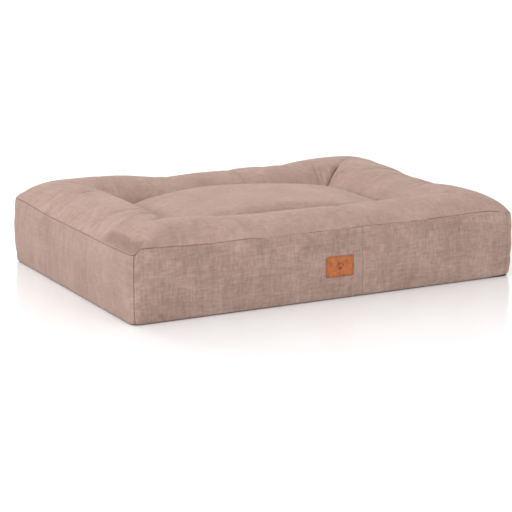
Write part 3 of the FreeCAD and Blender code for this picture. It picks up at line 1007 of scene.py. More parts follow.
    def inward(self, spot: Vector, normal: Vector) -> Vector:
        """The direction that a seam allowance takes at a point of the cover.

        Args:
            spot: the point.
            normal: the cloth's normal there.

        Returns:
            Level and straight in from a wall, and against the normal on the bolsters.
        """
        if spot.z > self.seam_height + 10 * MM:
            return -normal
        core_x, core_y = self.half_length - 60 * MM, self.half_width - 60 * MM
        core = Vector((min(core_x, max(-core_x, spot.x)), min(core_y, max(-core_y, spot.y)),
                       spot.z))
        return (core - spot).normalized() if (core - spot).length > 20 * MM else -normal

    def pump_up(self, ring: bpy.types.Object, frames: int = 20) -> None:
        """Swells the ring with cloth simulation between its held seams.

        Args:
            ring: the ring's object, whose mesh is changed.
            frames: how many steps to run.
        """
        before = [v.co.copy() for v in ring.data.vertices]
        places = self.grid_places(ring)
        simulate(ring, "pins", pressure=3.2, stretch=-0.03, frames=frames)
        for vertex, start, (_, row) in zip(ring.data.vertices, before, places):
            move = vertex.co - start
            if row < self.seam_row:
                vertex.co = start + limited(move * self.wall_swell, 4 * MM)
            else:
                vertex.co = start + limited(move * self.top_swell, 10 * MM)

    def crumple(self, ring: bpy.types.Object) -> None:
        """Lays the larger folds and soft unevenness into the cloth.

        Args:
            ring: the ring's object, whose mesh is changed.
        """
        normals = [v.normal.copy() for v in ring.data.vertices]
        places = self.grid_places(ring)
        for vertex, normal, (column, row) in zip(ring.data.vertices, normals, places):
            spot = vertex.co
            if row in (0, self.seam_row, len(self.rows) - 1):
                continue
            if row > self.seam_row and self.stations[column].side is Side.LEFT:
                spot = spot + Vector((9 * MM, 0, -7 * MM)) * self._sunk(spot, self.rows[row][0])
            if row < self.seam_row:
                vertex.co = spot + normal * self._wall_unevenness(spot, self.stations[column])
            else:
                vertex.co = spot + normal * self._top_unevenness(spot, self.rows[row][0])

    @staticmethod
    def _sunk(spot: Vector, inset: float) -> float:
        """How much a point lies in the recess behind the left wall's edge, near the front."""
        along = ease((-0.185 - spot.y) / 0.04) * ease((spot.y + 0.374) / 0.012)
        return along * ease((inset - 1 * MM) / (5 * MM)) * ease((21 * MM - inset) / (7 * MM))

    def _wall_unevenness(self, spot: Vector, station: Station) -> float:
        """How far the cloth of the walls stands out at a point beyond its even shape."""
        fade = ease(spot.z / (30 * MM)) * ease((self.seam_height - spot.z) / (25 * MM))
        pulls = noise.noise(Vector((spot.x * 16, spot.y * 16, spot.z * 4 + 7.7)))
        fine = noise.noise(Vector((spot.x * 55, spot.y * 55, spot.z * 9 + 1.3)))
        lift = fade * (1.5 * pulls + 0.45 * fine) * MM
        if station.side is Side.BACK and station.angle is None:
            lift *= 1 - bump(spot.z - self.zip_level, 18 * MM)
        if station.side is Side.FRONT:
            lift += sum(fold.lift(spot.x, spot.z) for fold in FRONT_FOLDS)
        return lift

    def _top_unevenness(self, spot: Vector, inset: float) -> float:
        """How far the cloth of the bolsters stands out at a point beyond its even shape."""
        fade = ease(inset / (12 * MM)) * ease((spot.z - self.deck_height) / (30 * MM))
        soft = noise.noise(Vector((spot.x * 8, spot.y * 8, 2.2)))
        lift = fade * 1.6 * MM * soft
        return lift + sum(fold.lift(spot.x, spot.y) for fold in TOP_FOLDS)


# lines on the bolsters, seen from above: start, end, height and width
TOP_FOLDS = (
    Fold((-0.515, -0.075), (-0.435, 0.020), -2.8 * MM, 6 * MM, 0.006),
    Fold((-0.515, -0.115), (-0.440, -0.050), -2.3 * MM, 5 * MM, 0.005),
    Fold((-0.519, -0.155), (-0.465, -0.085), -2.4 * MM, 5 * MM, 0.005),
    Fold((-0.520, -0.185), (-0.495, -0.130), -2.0 * MM, 4.5 * MM),
    Fold((-0.505, -0.178), (-0.400, -0.183), -2.5 * MM, 5 * MM, -0.004),
    Fold((-0.490, -0.222), (-0.360, -0.195), -4.6 * MM, 6 * MM, -0.006),
    Fold((-0.497, -0.250), (-0.490, -0.335), 2.5 * MM, 8 * MM),
    Fold((-0.510, -0.235), (-0.513, -0.350), -4.0 * MM, 8 * MM, -0.003),
    Fold((0.300, 0.165), (0.385, 0.275), -3.5 * MM, 7 * MM, 0.010),
    Fold((0.290, 0.185), (0.300, 0.245), -2.2 * MM, 5 * MM),
    Fold((0.305, 0.180), (0.335, 0.250), 2.2 * MM, 5 * MM),
    Fold((0.270, 0.190), (0.225, 0.250), -1.8 * MM, 6 * MM),
    Fold((0.350, 0.035), (0.440, 0.060), -1.6 * MM, 8 * MM),
    Fold((0.340, -0.235), (0.420, -0.262), -1.8 * MM, 7 * MM),
    Fold((-0.330, 0.190), (-0.372, 0.262), -3.0 * MM, 7 * MM),
    Fold((-0.300, 0.185), (-0.312, 0.250), -1.8 * MM, 5 * MM),
)

# lines on the front wall, seen from the front: start, end, height and width
FRONT_FOLDS = (
    Fold((-0.420, 0.112), (-0.403, 0.055), -2.6 * MM, 7 * MM),
    Fold((-0.452, 0.150), (-0.440, 0.105), -1.2 * MM, 8 * MM),
    Fold((0.248, 0.085), (0.262, 0.040), -1.2 * MM, 7 * MM),
    Fold((0.075, 0.160), (0.080, 0.105), -1.0 * MM, 8 * MM),
)


def limited(move: Vector, cap: float) -> Vector:
    """A move whose length is eased down so that it never passes a cap."""
    length = move.length
    if length < 1e-9:
        return move
    return move * (cap * math.tanh(length / cap) / length)


def simulate(piece: bpy.types.Object, pins: str, pressure: float, stretch: float,
             frames: int, bending: float = 0.4) -> None:
    """Runs cloth under pressure on a piece and keeps the shape it reaches.

    Args:
        piece: the object, whose mesh is changed.
        pins: the vertex group that holds it.
        pressure: the pressure inside.
        stretch: how much the cloth shrinks; below 0 it is longer than its seams.
        frames: how many frames to run.
        bending: how much the cloth resists bending.
    """
    scene = bpy.context.scene
    modifier = piece.modifiers.new("pump", "CLOTH")
    settings = modifier.settings
    settings.quality = 5
    settings.mass = 0.3
    settings.tension_stiffness = 20
    settings.compression_stiffness = 12
    settings.shear_stiffness = 8
    settings.bending_stiffness = bending
    settings.air_damping = 2
    settings.use_pressure = True
    settings.uniform_pressure_force = pressure
    settings.shrink_min = stretch
    settings.vertex_group_mass = pins
    settings.pin_stiffness = 1.0
    settings.effector_weights.gravity = 0
    modifier.collision_settings.use_collision = False
    modifier.point_cache.frame_start = 1
    modifier.point_cache.frame_end = frames + 1
    for frame in range(1, frames + 1):
        scene.frame_set(frame)
    graph = bpy.context.evaluated_depsgraph_get()
    shaped = piece.evaluated_get(graph).to_mesh()
    moved = [v.co.copy() for v in shaped.vertices]
    piece.evaluated_get(graph).to_mesh_clear()
    piece.modifiers.remove(modifier)
    for vertex, spot in zip(piece.data.vertices, moved):
        vertex.co = spot
    piece.data.update()
    scene.frame_set(1)


# ---- pieces cut from the cover -----------------------------------------------------------


def boundary(work: bmesh.types.BMesh) -> list[bmesh.types.BMEdge]:
    """The raw edges of a skin."""
    return [edge for edge in work.edges if edge.is_boundary]


def draw_out(work: bmesh.types.BMesh, move: Callable[[Vector, Vector], Vector]) -> None:
    """Draws the raw edges of a skin out by one row of faces.

    Args:
        work: the skin.
        move: gives a new edge point from the old point and its normal.
    """
    work.normal_update()
    edges = boundary(work)
    normals = {v.co.to_tuple(7): v.normal.copy() for e in edges for v in e.verts}
    made = bmesh.ops.extrude_edge_only(work, edges=edges)
    for item in made["geom"]:
        if isinstance(item, bmesh.types.BMVert):
            item.co = move(item.co.copy(), normals[item.co.to_tuple(7)])


def crisp(work: bmesh.types.BMesh, tightness: Callable[[Vector], float]) -> None:
    """Keeps the raw edges of a skin tight where it is subdivided.

    Args:
        work: the skin.
        tightness: gives from an edge's middle how tight it is, from 0 to 1.
    """
    layers = work.edges.layers.float
    crease = layers.get("crease_edge") or layers.new("crease_edge")
    for edge in boundary(work):
        hold = tightness((edge.verts[0].co + edge.verts[1].co) / 2)
        edge[crease] = hold
        edge.smooth = hold < 0.95


def turn_in(work: bmesh.types.BMesh, depth: float,
            inward: Callable[[Vector, Vector], Vector]) -> None:
    """Turns the raw edges of a skin inwards, as a seam allowance.

    Args:
        work: the skin.
        depth: how deep the allowance goes.
        inward: gives the direction inwards from an edge point and its normal.
    """
    draw_out(work, lambda spot, normal: spot + inward(spot, normal) * depth)


def cut_panel(ring: bpy.types.Object, keep: Callable[[int, int], bool]) -> bmesh.types.BMesh:
    """Copies the part of the cover whose grid faces are to be kept.

    Args:
        ring: the whole cover.
        keep: tells from a face's column and row whether it stays.

    Returns:
        The part, as a bmesh.
    """
    work = bmesh.new()
    work.from_mesh(ring.data)
    column, row = work.faces.layers.int["column"], work.faces.layers.int["row"]
    gone = [f for f in work.faces if not keep(f[column], f[row])]
    bmesh.ops.delete(work, geom=gone, context="FACES")
    return work


@dataclass
class WallPanels:
    """The panels of the walls: skins of cloth with turned edges."""

    cover: SewnCover
    ring: bpy.types.Object
    finishes: Finishes
    thickness: float = 1.6 * MM
    allowance: float = 4 * MM
    pieces: dict[str, bpy.types.Object] = field(default_factory=dict)

    def build(self) -> None:
        """Makes the six wall panels."""
        cover = self.cover
        self._panel("front_wall_main",
                    lambda c, r: self._on_front(c) and self._start(c) < cover.wall_join - 1e-6)
        self._panel("front_wall_end",
                    lambda c, r: self._on_front(c) and self._start(c) > cover.wall_join - 1e-6)
        self._panel("right_wall", lambda c, r: self._wall_of(c) is Side.RIGHT)
        self._panel("left_wall", lambda c, r: self._wall_of(c) is Side.LEFT)
        zip_row = min(range(cover.seam_row), key=lambda r: abs(cover.rows[r][1] - cover.zip_level))
        self._panel("back_wall_upper",
                    lambda c, r: self._wall_of(c) is Side.BACK and r >= zip_row
                    and not self._in_zip(c, r))
        self._panel("back_wall_lower",
                    lambda c, r: self._wall_of(c) is Side.BACK and r < zip_row
                    and not self._in_zip(c, r))

    def _start(self, column: int) -> float:
        """Where a column of faces starts along its side."""
        station = self.cover.stations[column]
        wrapped = station.angle is not None and self._wall_of(column) is Side.FRONT
        return -self.cover.half_length if wrapped else station.along

    def _on_front(self, column: int) -> bool:
        """Whether a column of faces lies on the front between its corner seams."""
        return self._wall_of(column) is Side.FRONT

    def _wall_of(self, column: int) -> Side:
        """The wall that a column of faces belongs to: the side walls turn the corners."""
        station = self.cover.stations[column]
        if station.angle is None:
            return station.side
        if station.side is Side.LEFT and station.angle > self.cover.corner_seam - 0.01:
            return Side.FRONT
        return {Side.FRONT: Side.RIGHT, Side.BACK: Side.LEFT}.get(station.side, station.side)

    def _in_zip(self, column: int, row: int) -> bool:
        """Whether a face lies in the zip's opening."""
        low, high = self.cover.rows[row][1], self.cover.rows[row + 1][1]
        gap = self.cover.zip_gap + 0.1 * MM
        level = self.cover.zip_level
        inside = abs(self._start(column) + 1 * MM) < self.cover.zip_half
        return inside and low > level - gap and high < level + gap

    def _panel(self, name: str,
               keep: Callable[[int, int], bool]) -> None:
        """Cuts, hems, thickens and dresses one panel.

        Args:
            name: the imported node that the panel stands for.
            keep: tells which grid faces it takes.
        """
        seam = self.cover.seam_row
        work = cut_panel(self.ring, lambda c, r: r < seam and keep(c, r))
        join = self.cover.wall_join
        crisp(work, lambda spot: 0.85 if abs(spot.x - join) < 2 * MM and spot.y < 0 else 0.55)
        turn_in(work, self.allowance, self.cover.inward)
        panel = finish_bmesh(work, "cloth_" + name)
        subdivide(panel)
        thicken(panel, self.thickness)
        plain = name in ("left_wall", "right_wall")
        dress(panel, self.finishes.side_wall if plain else self.finishes.wall, BASE_BODY, [name])
        self.pieces[name] = panel


@dataclass
class Bolsters:
    """The four stuffed bolsters, each a closed form that ends at its mitres."""

    cover: SewnCover
    ring: bpy.types.Object
    finishes: Finishes
    pieces: dict[Side, bpy.types.Object] = field(default_factory=dict)

    def build(self) -> None:
        """Makes the bolsters."""
        for side in Side:
            self._bolster(side)

    def _tightness(self, spot: Vector) -> float:
        """How tight the cloth is held at a point of a bolster's edge.

        The mitres are closed flush outside the crest and gather into a groove inside it.
        """
        cover = self.cover
        inset = min(cover.half_length - abs(spot.x), cover.half_width - abs(spot.y))
        if spot.z < cover.seam_height + 3 * MM and inset < 12 * MM:
            return 0.55
        if inset < cover.crest_inset:
            return 1.0
        return mix(1.0, 0.2, ease((inset - cover.crest_inset) / 0.05))

    def _bolster(self, side: Side) -> None:
        """Cuts one bolster from the cover and closes it down to the deck."""
        cover = self.cover
        work = cut_panel(self.ring, lambda c, r: r >= cover.seam_row and cover.top_side(c) is side)
        crisp(work, self._tightness)
        turn_in(work, 3 * MM, cover.inward)
        floor = cover.deck_height + 0.4 * MM
        draw_out(work, lambda spot, normal: Vector((spot.x, spot.y, floor)))
        bmesh.ops.triangle_fill(work, edges=boundary(work), use_beauty=True)
        bmesh.ops.recalc_face_normals(work, faces=work.faces[:])
        name = side.name.lower()
        bolster = finish_bmesh(work, f"bolster_{name}")
        subdivide(bolster)
        dress(bolster, self.finishes.bolster, BASE_BODY,
              [f"{name}_bolster_cover", f"{name}_bolster_filling"])
        self.pieces[side] = bolster


# ---- the loose cushion -------------------------------------------------------------------


@dataclass
class LooseCushion:
    """The crowned cushion in the well: two panels seamed at the equator, pumped up."""

    finishes: Finishes
    half_length: float
    half_width: float
    foot: float
    equator: float
    crown: float
    rounding: float = 0.22
    spacing: float = 6 * MM
    peak: float = -90 * MM
    long_slope: float = 400 * MM
    short_slope: float = 250 * MM
    fall: float = 0.55

    def build(self) -> bpy.types.Object:
        """Makes the cushion.

        Returns:
            The cushion's object.
        """
        work = bmesh.new()
        weave = work.loops.layers.uv.new("weave")
        columns = round(2 * self.half_length / self.spacing)
        rows = round(2 * self.half_width / self.spacing)
        for top in (True, False):
            made = bmesh.ops.create_grid(work, x_segments=columns, y_segments=rows, size=1.0)
            grid = {(round((v.co.x + 1) / 2 * columns), round((v.co.y + 1) / 2 * rows)): v
                    for v in made["verts"]}
            for vertex in made["verts"]:
                vertex.co = self._point(vertex.co.x, vertex.co.y, top)
            self._lay_weave(grid, columns, rows, weave)
        bmesh.ops.remove_doubles(work, verts=work.verts[:], dist=0.01 * MM)
        bmesh.ops.recalc_face_normals(work, faces=work.faces[:])
        cushion = finish_bmesh(work, "centre_cushion")
        self._pump_up(cushion)
        subdivide(cushion)
        dress(cushion, self.finishes.cushion, CUSHION_BODY,
              ["centre_cushion_top", "centre_cushion_bottom", "centre_cushion_filling"])
        return cushion

    @staticmethod
    def _lay_weave(grid: dict[tuple[int, int], bmesh.types.BMVert], columns: int, rows: int,
                   weave: bmesh.types.BMLayerItem) -> None:
        """Lays the weave map of one panel: the lengths over the cloth from its middle.

        Args:
            grid: the panel's points by column and row.
            columns: the last column.
            rows: the last row.
            weave: the map.
        """
        cloth: dict[bmesh.types.BMVert, list[float]] = {v: [20.0, 0.0] for v in grid.values()}
        for axis, (last, others) in enumerate(((columns, rows), (rows, columns))):
            for other in range(others + 1):
                line = [grid[(i, other) if axis == 0 else (other, i)] for i in range(last + 1)]
                for step in (1, -1):
                    length, i = 0.0, last // 2
                    while 0 <= i + step <= last:
                        length += (line[i + step].co - line[i].co).length * step
                        i += step
                        cloth[line[i]][axis] += length
        for vertex, spot in cloth.items():
            for loop in vertex.link_loops:
                loop[weave].uv = spot

    def _point(self, u: float, v: float, top: bool) -> Vector:
        """A point of the cushion from its place on a square of cloth.

        Args:
            u: from -1 to 1 along the cushion.
            v: from -1 to 1 across it.
            top: whether it is on the upper panel.

        Returns:
            The point.
        """
        x = self.half_length * u * math.sqrt(1 - self.rounding * v ** 6 / 2)
        y = self.half_width * v * math.sqrt(1 - self.rounding * u ** 6 / 2)
        if top:
            reach = self.long_slope if x > self.peak else self.short_slope
            dome = 1 - self.fall * abs((x - self.peak) / reach) ** 1.6
            edge = max(0.0, 1 - abs(u) ** 14) ** 0.3 * max(0.0, 1 - abs(v) ** 8) ** 0.24
            return Vector((x, y, mix(self.equator, self.crown, dome * edge)))
        swell = (max(0.0, 1 - abs(u) ** 14) * max(0.0, 1 - abs(v) ** 9)) ** 0.5
        return Vector((x, y, mix(self.equator, self.foot, swell)))

    def _pump_up(self, cushion: bpy.types.Object) -> None:
        """Swells the upper panel, held at the seam and the foot."""
        group = cushion.vertex_groups.new(name="pins")
        held = [v.index for v in cushion.data.vertices if v.co.z < self.equator + 0.1 * MM]
        group.add(held, 1.0, "REPLACE")
        before = [v.co.copy() for v in cushion.data.vertices]
        simulate(cushion, "pins", pressure=1.2, stretch=-0.004, frames=12, bending=2.0)
        for vertex, start in zip(cushion.data.vertices, before):
            vertex.co = start + limited(vertex.co - start, 5 * MM)


# ---- the label ---------------------------------------------------------------------------


@dataclass
class LeatherLabel:
    """The leather patch on the front wall, with a pressed border, a paw and its stitches."""

    finishes: Finishes
    wall: bpy.types.Object
    centre: Vector
    width: float
    height: float
    thickness: float = 1.8 * MM
    corner: float = 3 * MM
    stitch_inset: float = 4 * MM
    stitch_pitch: float = 5 * MM
    stitch_length: float = 3.4 * MM
    toes: tuple[tuple[float, float, float], ...] = (
        (-8.6, 1.8, 2.5), (-3.2, 6.2, 2.8), (3.2, 6.2, 2.8), (8.6, 1.8, 2.5))
    surface: BVHTree | None = None

    def build(self) -> None:
        """Makes the patch and its stitches."""
        graph = bpy.context.evaluated_depsgraph_get()
        self.surface = BVHTree.FromObject(self.wall, graph)
        patch = self._patch()
        stitches = self._stitches()
        dress(patch, self.finishes.leather, BASE_BODY, ["leather_label"])
        dress(stitches, self.finishes.label_thread, BASE_BODY, ["label_stitching"])

    def _wall_at(self, x: float, z: float) -> float:
        """The wall's face at a place, evened out over the patch's stiffness."""
        reach = 9 * MM
        hits = []
        for dx in (-reach, 0, reach):
            for dz in (-reach, 0, reach):
                hit = self.surface.ray_cast(Vector((x + dx, -1, z + dz)), Vector((0, 1, 0)))[0]
                if hit is not None:
                    hits.append(hit.y)
        return sum(hits) / len(hits) if hits else self.centre.y

    def _mark(self, x: float, z: float) -> float:
        """How far the pressed paw reaches at a place on the patch, from 0 to 1."""
        pads = [((x - cx * MM) / (r * MM * 0.85), (z - cz * MM) / (r * MM * 1.2))
                for cx, cz, r in self.toes]
        pads.append((x / (6.6 * MM), (z + 4.2 * MM) / (4.6 * MM)))
        nearest = min(math.hypot(*pad) for pad in pads)
        return ease((1.25 - nearest) / 0.5)

    def _patch(self) -> bpy.types.Object:
        """Makes the patch."""
        work = bmesh.new()
        burnt = work.verts.layers.float.new("burnt")
        half_w, half_h = self.width / 2, self.height / 2
        bmesh.ops.create_grid(work, x_segments=76, y_segments=52, size=1.0)
        for vertex in work.verts:
            x, z = vertex.co.x * half_w, vertex.co.y * half_h
            edge = min(half_w - abs(x), half_h - abs(z))
            mark = self._mark(x, z)
            line = bump(edge - 2.2 * MM, 0.55 * MM)
            vertex[burnt] = max(0.85 * mark, 0.75 * line,
                                0.8 * ease((0.9 * MM - edge) / (0.9 * MM)))
            pressed = ease((0.8 * MM - edge) / (0.8 * MM))
            sunk = 0.45 * MM * mark + 0.3 * MM * line + 0.4 * MM * pressed
            x, z = self._rounded(x, z)
            wall = self._wall_at(self.centre.x + x, self.centre.z + z)
            vertex.co = Vector((self.centre.x + x, wall - self.thickness + sunk, self.centre.z + z))
        bmesh.ops.recalc_face_normals(work, faces=work.faces[:])
        if sum(f.normal.y for f in work.faces) > 0:
            bmesh.ops.reverse_faces(work, faces=work.faces[:])
        patch = finish_bmesh(work, "leather_patch")
        subdivide(patch)
        thicken(patch, self.thickness)
        return patch

    def _rounded(self, x: float, z: float) -> tuple[float, float]:
        """Moves a point near a corner of the patch so that the corner is round."""
        half_w, half_h = self.width / 2, self.height / 2
        dx = (abs(x) - (half_w - self.corner)) / self.corner
        dz = (abs(z) - (half_h - self.corner)) / self.corner
        if dx <= 0 or dz <= 0:
            return x, z
        round_x = dx * math.sqrt(1 - dz * dz / 2)
        round_z = dz * math.sqrt(1 - dx * dx / 2)
        return (math.copysign(half_w - self.corner + round_x * self.corner, x),
                math.copysign(half_h - self.corner + round_z * self.corner, z))

    def _stitches(self) -> bpy.types.Object:
        """Makes the row of stitches near the patch's edge."""
        places: list[Matrix] = []
        across, up = self.width / 2 - self.stitch_inset, self.height / 2 - self.stitch_inset
        for half, offset, level in ((across, up, True), (up, across, False)):
            count = int(2 * half / self.stitch_pitch)
            turn = Matrix.Rotation(0 if level else math.pi / 2, 4, "Y")
            for i in range(count):
                along = (i - (count - 1) / 2) * self.stitch_pitch
                for side in (-1, 1):
                    x, z = (along, side * offset) if level else (side * offset, along)
                    x, z = self.centre.x + x, self.centre.z + z
                    y = self._wall_at(x, z) - self.thickness - 0.05 * MM
                    places.append(Matrix.Translation((x, y, z)) @ turn)
        work = bmesh.new()
        repeat(work, bead(self.stitch_length, 0.84 * MM, 0.9 * MM), places)
        return finish_bmesh(work, "label_stitches")


# ---- the base ----------------------------------------------------------------------------


def rounded_plate(work: bmesh.types.BMesh, length: float, width: float, radius: float,
                  height: float) -> list[bmesh.types.BMFace]:
    """Adds a flat plate with rounded corners, facing up.

    Args:
        work: the bmesh it is added to.
        length: its size along X.
        width: its size along Y.
        radius: the radius of its corners.
        height: its level.

    Returns:
        Its one face, in a list.
    """
    made = bmesh.ops.create_grid(work, x_segments=1, y_segments=1, size=0.5)
    corners = made["verts"]
    for vertex in corners:
        vertex.co = Vector((vertex.co.x * length, vertex.co.y * width, height))
    bmesh.ops.bevel(work, geom=corners, offset=radius, offset_type="OFFSET", segments=8,
                    profile=0.5, affect="VERTICES", material=-1, clamp_overlap=True)
    return [f for f in work.faces if abs(f.calc_center_median().z - height) < 1e-6]


@dataclass
class BaseCloth:
    """The dark bottom panel with its turned-up edge and its non-slip dots."""

    finishes: Finishes
    low: Vector
    high: Vector
    edge_inset: float = 4.2 * MM
    rise: float = 4.6 * MM
    dot_height: float = 0.6 * MM
    dot_pitch: float = 24 * MM
    dot_radius: float = 2.6 * MM
    margin: float = 30 * MM

    def build(self) -> None:
        """Makes the cloth and the dots."""
        length, width = self.high.x - self.low.x, self.high.y - self.low.y
        work = bmesh.new()
        face = rounded_plate(work, length - 2 * self.edge_inset, width - 2 * self.edge_inset,
                             19 * MM, self.dot_height)[0]
        bmesh.ops.inset_region(work, faces=[face], thickness=3 * MM)
        rim = boundary(work)
        made = bmesh.ops.extrude_edge_only(work, edges=rim)
        for item in made["geom"]:
            if isinstance(item, bmesh.types.BMVert):
                item.co.z = self.low.z + self.rise
        bmesh.ops.recalc_face_normals(work, faces=work.faces[:])
        if face.normal.z > 0:
            bmesh.ops.reverse_faces(work, faces=work.faces[:])
        cloth = finish_bmesh(work, "base_cloth", smooth=False)
        thicken(cloth, 1.2 * MM)
        dress(cloth, self.finishes.base, BASE_BODY, ["bottom_panel"])
        dress(self._dots(), self.finishes.dots, BASE_BODY, ())

    def _dots(self) -> bpy.types.Object:
        """Makes the rubber dots, in staggered rows."""
        places: list[Matrix] = []
        reach_x, reach_y = self.high.x - self.margin, self.high.y - self.margin
        rows = int(2 * reach_y / self.dot_pitch)
        for row in range(rows + 1):
            y = (row - rows / 2) * self.dot_pitch
            columns = int(2 * reach_x / self.dot_pitch) - row % 2
            for column in range(columns + 1):
                x = (column - columns / 2) * self.dot_pitch
                places.append(Matrix.Translation((x, y, self.dot_height / 2)))
        shape = bmesh.new()
        bmesh.ops.create_cone(shape, cap_ends=True, segments=10, radius1=self.dot_radius * 0.7,
                              radius2=self.dot_radius, depth=self.dot_height)
        work = bmesh.new()
        repeat(work, shape, places)
        return finish_bmesh(work, "non_slip_dots", smooth=False)


# ---- the zip -----------------------------------------------------------------------------


@dataclass
class BackZip:
    """The coil zip in the back wall: tapes, coil, stops, slider and pull."""

    finishes: Finishes
    wall_upper: bpy.types.Object
    wall_lower: bpy.types.Object
    level: float
    pitch: float = 1.5 * MM
    stitch_pitch: float = 4.2 * MM
    stitched_half: float = 430 * MM

    def build(self) -> None:
        """Makes every piece of the zip."""
        for half, sign in (("upper", 1), ("lower", -1)):
            tape = self._tape(half)
            dress(tape, self.finishes.tape, BASE_BODY, [f"zip_tape_{half}"])
            coil = self._coil(half, sign)
            dress(coil, self.finishes.coil, BASE_BODY, [f"zip_coil_{half}"])
        dress(self._stops(), self.finishes.metal, BASE_BODY, ["zip_stops"])
        dress(self._slider(), self.finishes.metal, SLIDER_BODY, ["zip_slider"])
        dress(self._pull(), self.finishes.metal, PULL_BODY, ["zip_pull"])
        stitches = self._topstitch()
        thread = Thread("seam_thread", (0.36, 0.25, 0.20)).material()
        dress(stitches, thread, BASE_BODY, ())

    def _tape(self, half: str) -> bpy.types.Object:
        """Makes one woven tape."""
        low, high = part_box(f"zip_tape_{half}")
        work = bmesh.new()
        bmesh.ops.create_grid(work, x_segments=180, y_segments=5, size=0.5)
        for vertex in work.verts:
            x = mix(low.x, high.x, vertex.co.x + 0.5)
            z = mix(low.z, high.z, vertex.co.y + 0.5)
            away = abs(z - self.level) / (high.z - low.z)
            ripple = 0.25 * MM * math.sin(x * 90) * ease(away)
            vertex.co = Vector((x, high.y - 0.3 * MM + ripple - 0.3 * MM, z))
        bmesh.ops.recalc_face_normals(work, faces=work.faces[:])
        if sum(f.normal.y for f in work.faces) < 0:
            bmesh.ops.reverse_faces(work, faces=work.faces[:])
        tape = finish_bmesh(work, f"zip_tape_weave_{half}")
        thicken(tape, 0.5 * MM)
        return tape

    def _coil(self, half: str, sign: int) -> bpy.types.Object:
        """Makes one half of the coil as a row of small loops.

        Args:
            half: upper or lower.
            sign: 1 for the upper half and -1 for the lower.

        Returns:
            The row's object.
        """
        low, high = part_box(f"zip_coil_{half}")
        inner, outer = self.level - sign * 0.5 * MM, self.level + sign * 2.9 * MM
        lean = Matrix.Rotation(sign * 0.12, 4, "Y")
        offset = 0.25 if sign > 0 else 0.75
        places = [Matrix.Translation((low.x + (i + offset) * self.pitch, (low.y + high.y) / 2,
                                      (inner + outer) / 2)) @ lean
                  for i in range(int((high.x - low.x) / self.pitch))]
        work = bmesh.new()
        repeat(work, bead(0.92 * MM, 1.9 * MM, abs(outer - inner)), places)
        return finish_bmesh(work, f"zip_coil_loops_{half}")

    def _stops(self) -> bpy.types.Object:
        """Makes the crimped stops at both ends."""
        low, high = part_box("zip_stops")
        work = bmesh.new()
        width, gap = 2.5 * MM, 3 * MM
        self._rounded_block(work, (low.x, low.y, low.z), (low.x + width, high.y, high.z), 0.5 * MM)
        for near, far in ((self.level + 1 * MM, self.level + gap),
                          (self.level - gap, self.level - 1 * MM)):
            self._rounded_block(work, (high.x - width, low.y, near), (high.x, high.y, far),
                                0.5 * MM)
        return finish_bmesh(work, "zip_end_stops")

    @staticmethod
    def _rounded_block(work: bmesh.types.BMesh, low: Sequence[float], high: Sequence[float],
                       radius: float, taper: float = 1.0) -> list[bmesh.types.BMVert]:
        """Adds a block with rounded edges.

        Args:
            work: the bmesh it is added to.
            low: its lowest corner.
            high: its highest corner.
            radius: the radius of its edges.
            taper: how much narrower it is along Z at its low X end.

        Returns:
            The block's vertices.
        """
        low, high = Vector(low), Vector(high)
        made = bmesh.ops.create_cube(work, size=1.0)
        for vertex in made["verts"]:
            near = vertex.co.x < 0
            spot = Vector([(l + h) / 2 + c * (h - l) for l, h, c in zip(low, high, vertex.co)])
            if near:
                middle = (low.z + high.z) / 2
                spot.z = middle + (spot.z - middle) * taper
            vertex.co = spot
        edges = list({e for v in made["verts"] for e in v.link_edges})
        done = bmesh.ops.bevel(work, geom=edges, offset=radius, offset_type="OFFSET", segments=3,
                               profile=0.5, affect="EDGES", material=-1, clamp_overlap=True)
        return done["verts"]

    def _slider(self) -> bpy.types.Object:
        """Makes the slider: two plates, side flanges, the diamond and an arched bridge."""
        low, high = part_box("zip_slider")
        coil_low, coil_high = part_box("zip_coil_upper")
        work = bmesh.new()
        plate = 1.2 * MM
        top = coil_high.y + 0.3 * MM
        z = self.level
        half = (high.z - low.z) / 2
        block = self._rounded_block
        block(work, (low.x, top, z - half), (high.x, top + plate, z + half), 0.5 * MM, 0.72)
        block(work, (low.x, low.y, z - half), (high.x, low.y + plate, z + half), 0.5 * MM, 0.72)
        for sign in (1, -1):
            near, far = sorted((z + sign * (half - 1 * MM), z + sign * half))
            block(work, (low.x + 2 * MM, coil_low.y + 0.3 * MM, near),
                  (high.x, top + 0.6 * MM, far), 0.35 * MM)
        # the wedge between the two halves, kept clear of the coils that run through
        for near, far in ((low.y + 0.5 * MM, coil_low.y - 0.1 * MM),
                          (coil_high.y + 0.3 * MM, top + 0.5 * MM)):
            block(work, (high.x - 4 * MM, near, z - 0.5 * MM), (high.x - 1 * MM, far, z + 0.5 * MM),
                  0.15 * MM)
        self._bridge(work, (low.x + high.x) / 2, top + plate, z)
        return finish_bmesh(work, "zip_slider_body")

    @staticmethod
    def _bridge(work: bmesh.types.BMesh, x: float, y: float, z: float) -> None:
        """Adds the arched bridge that holds the pull."""
        reach, thick, wide = 2.9 * MM, 0.62 * MM, 1.1 * MM
        section = bmesh.ops.create_circle(work, cap_ends=False, segments=10, radius=1.0)
        for vertex in section["verts"]:
            vertex.co = Vector((x - reach + vertex.co.x * thick, y - 0.2 * MM,
                                z + vertex.co.y * wide))
        ring = list({e for v in section["verts"] for e in v.link_edges})
        bmesh.ops.spin(work, geom=ring + section["verts"], cent=Vector((x, y - 0.2 * MM, z)),
                       axis=Vector((0, 0, -1)), angle=math.pi, steps=14, use_merge=False)

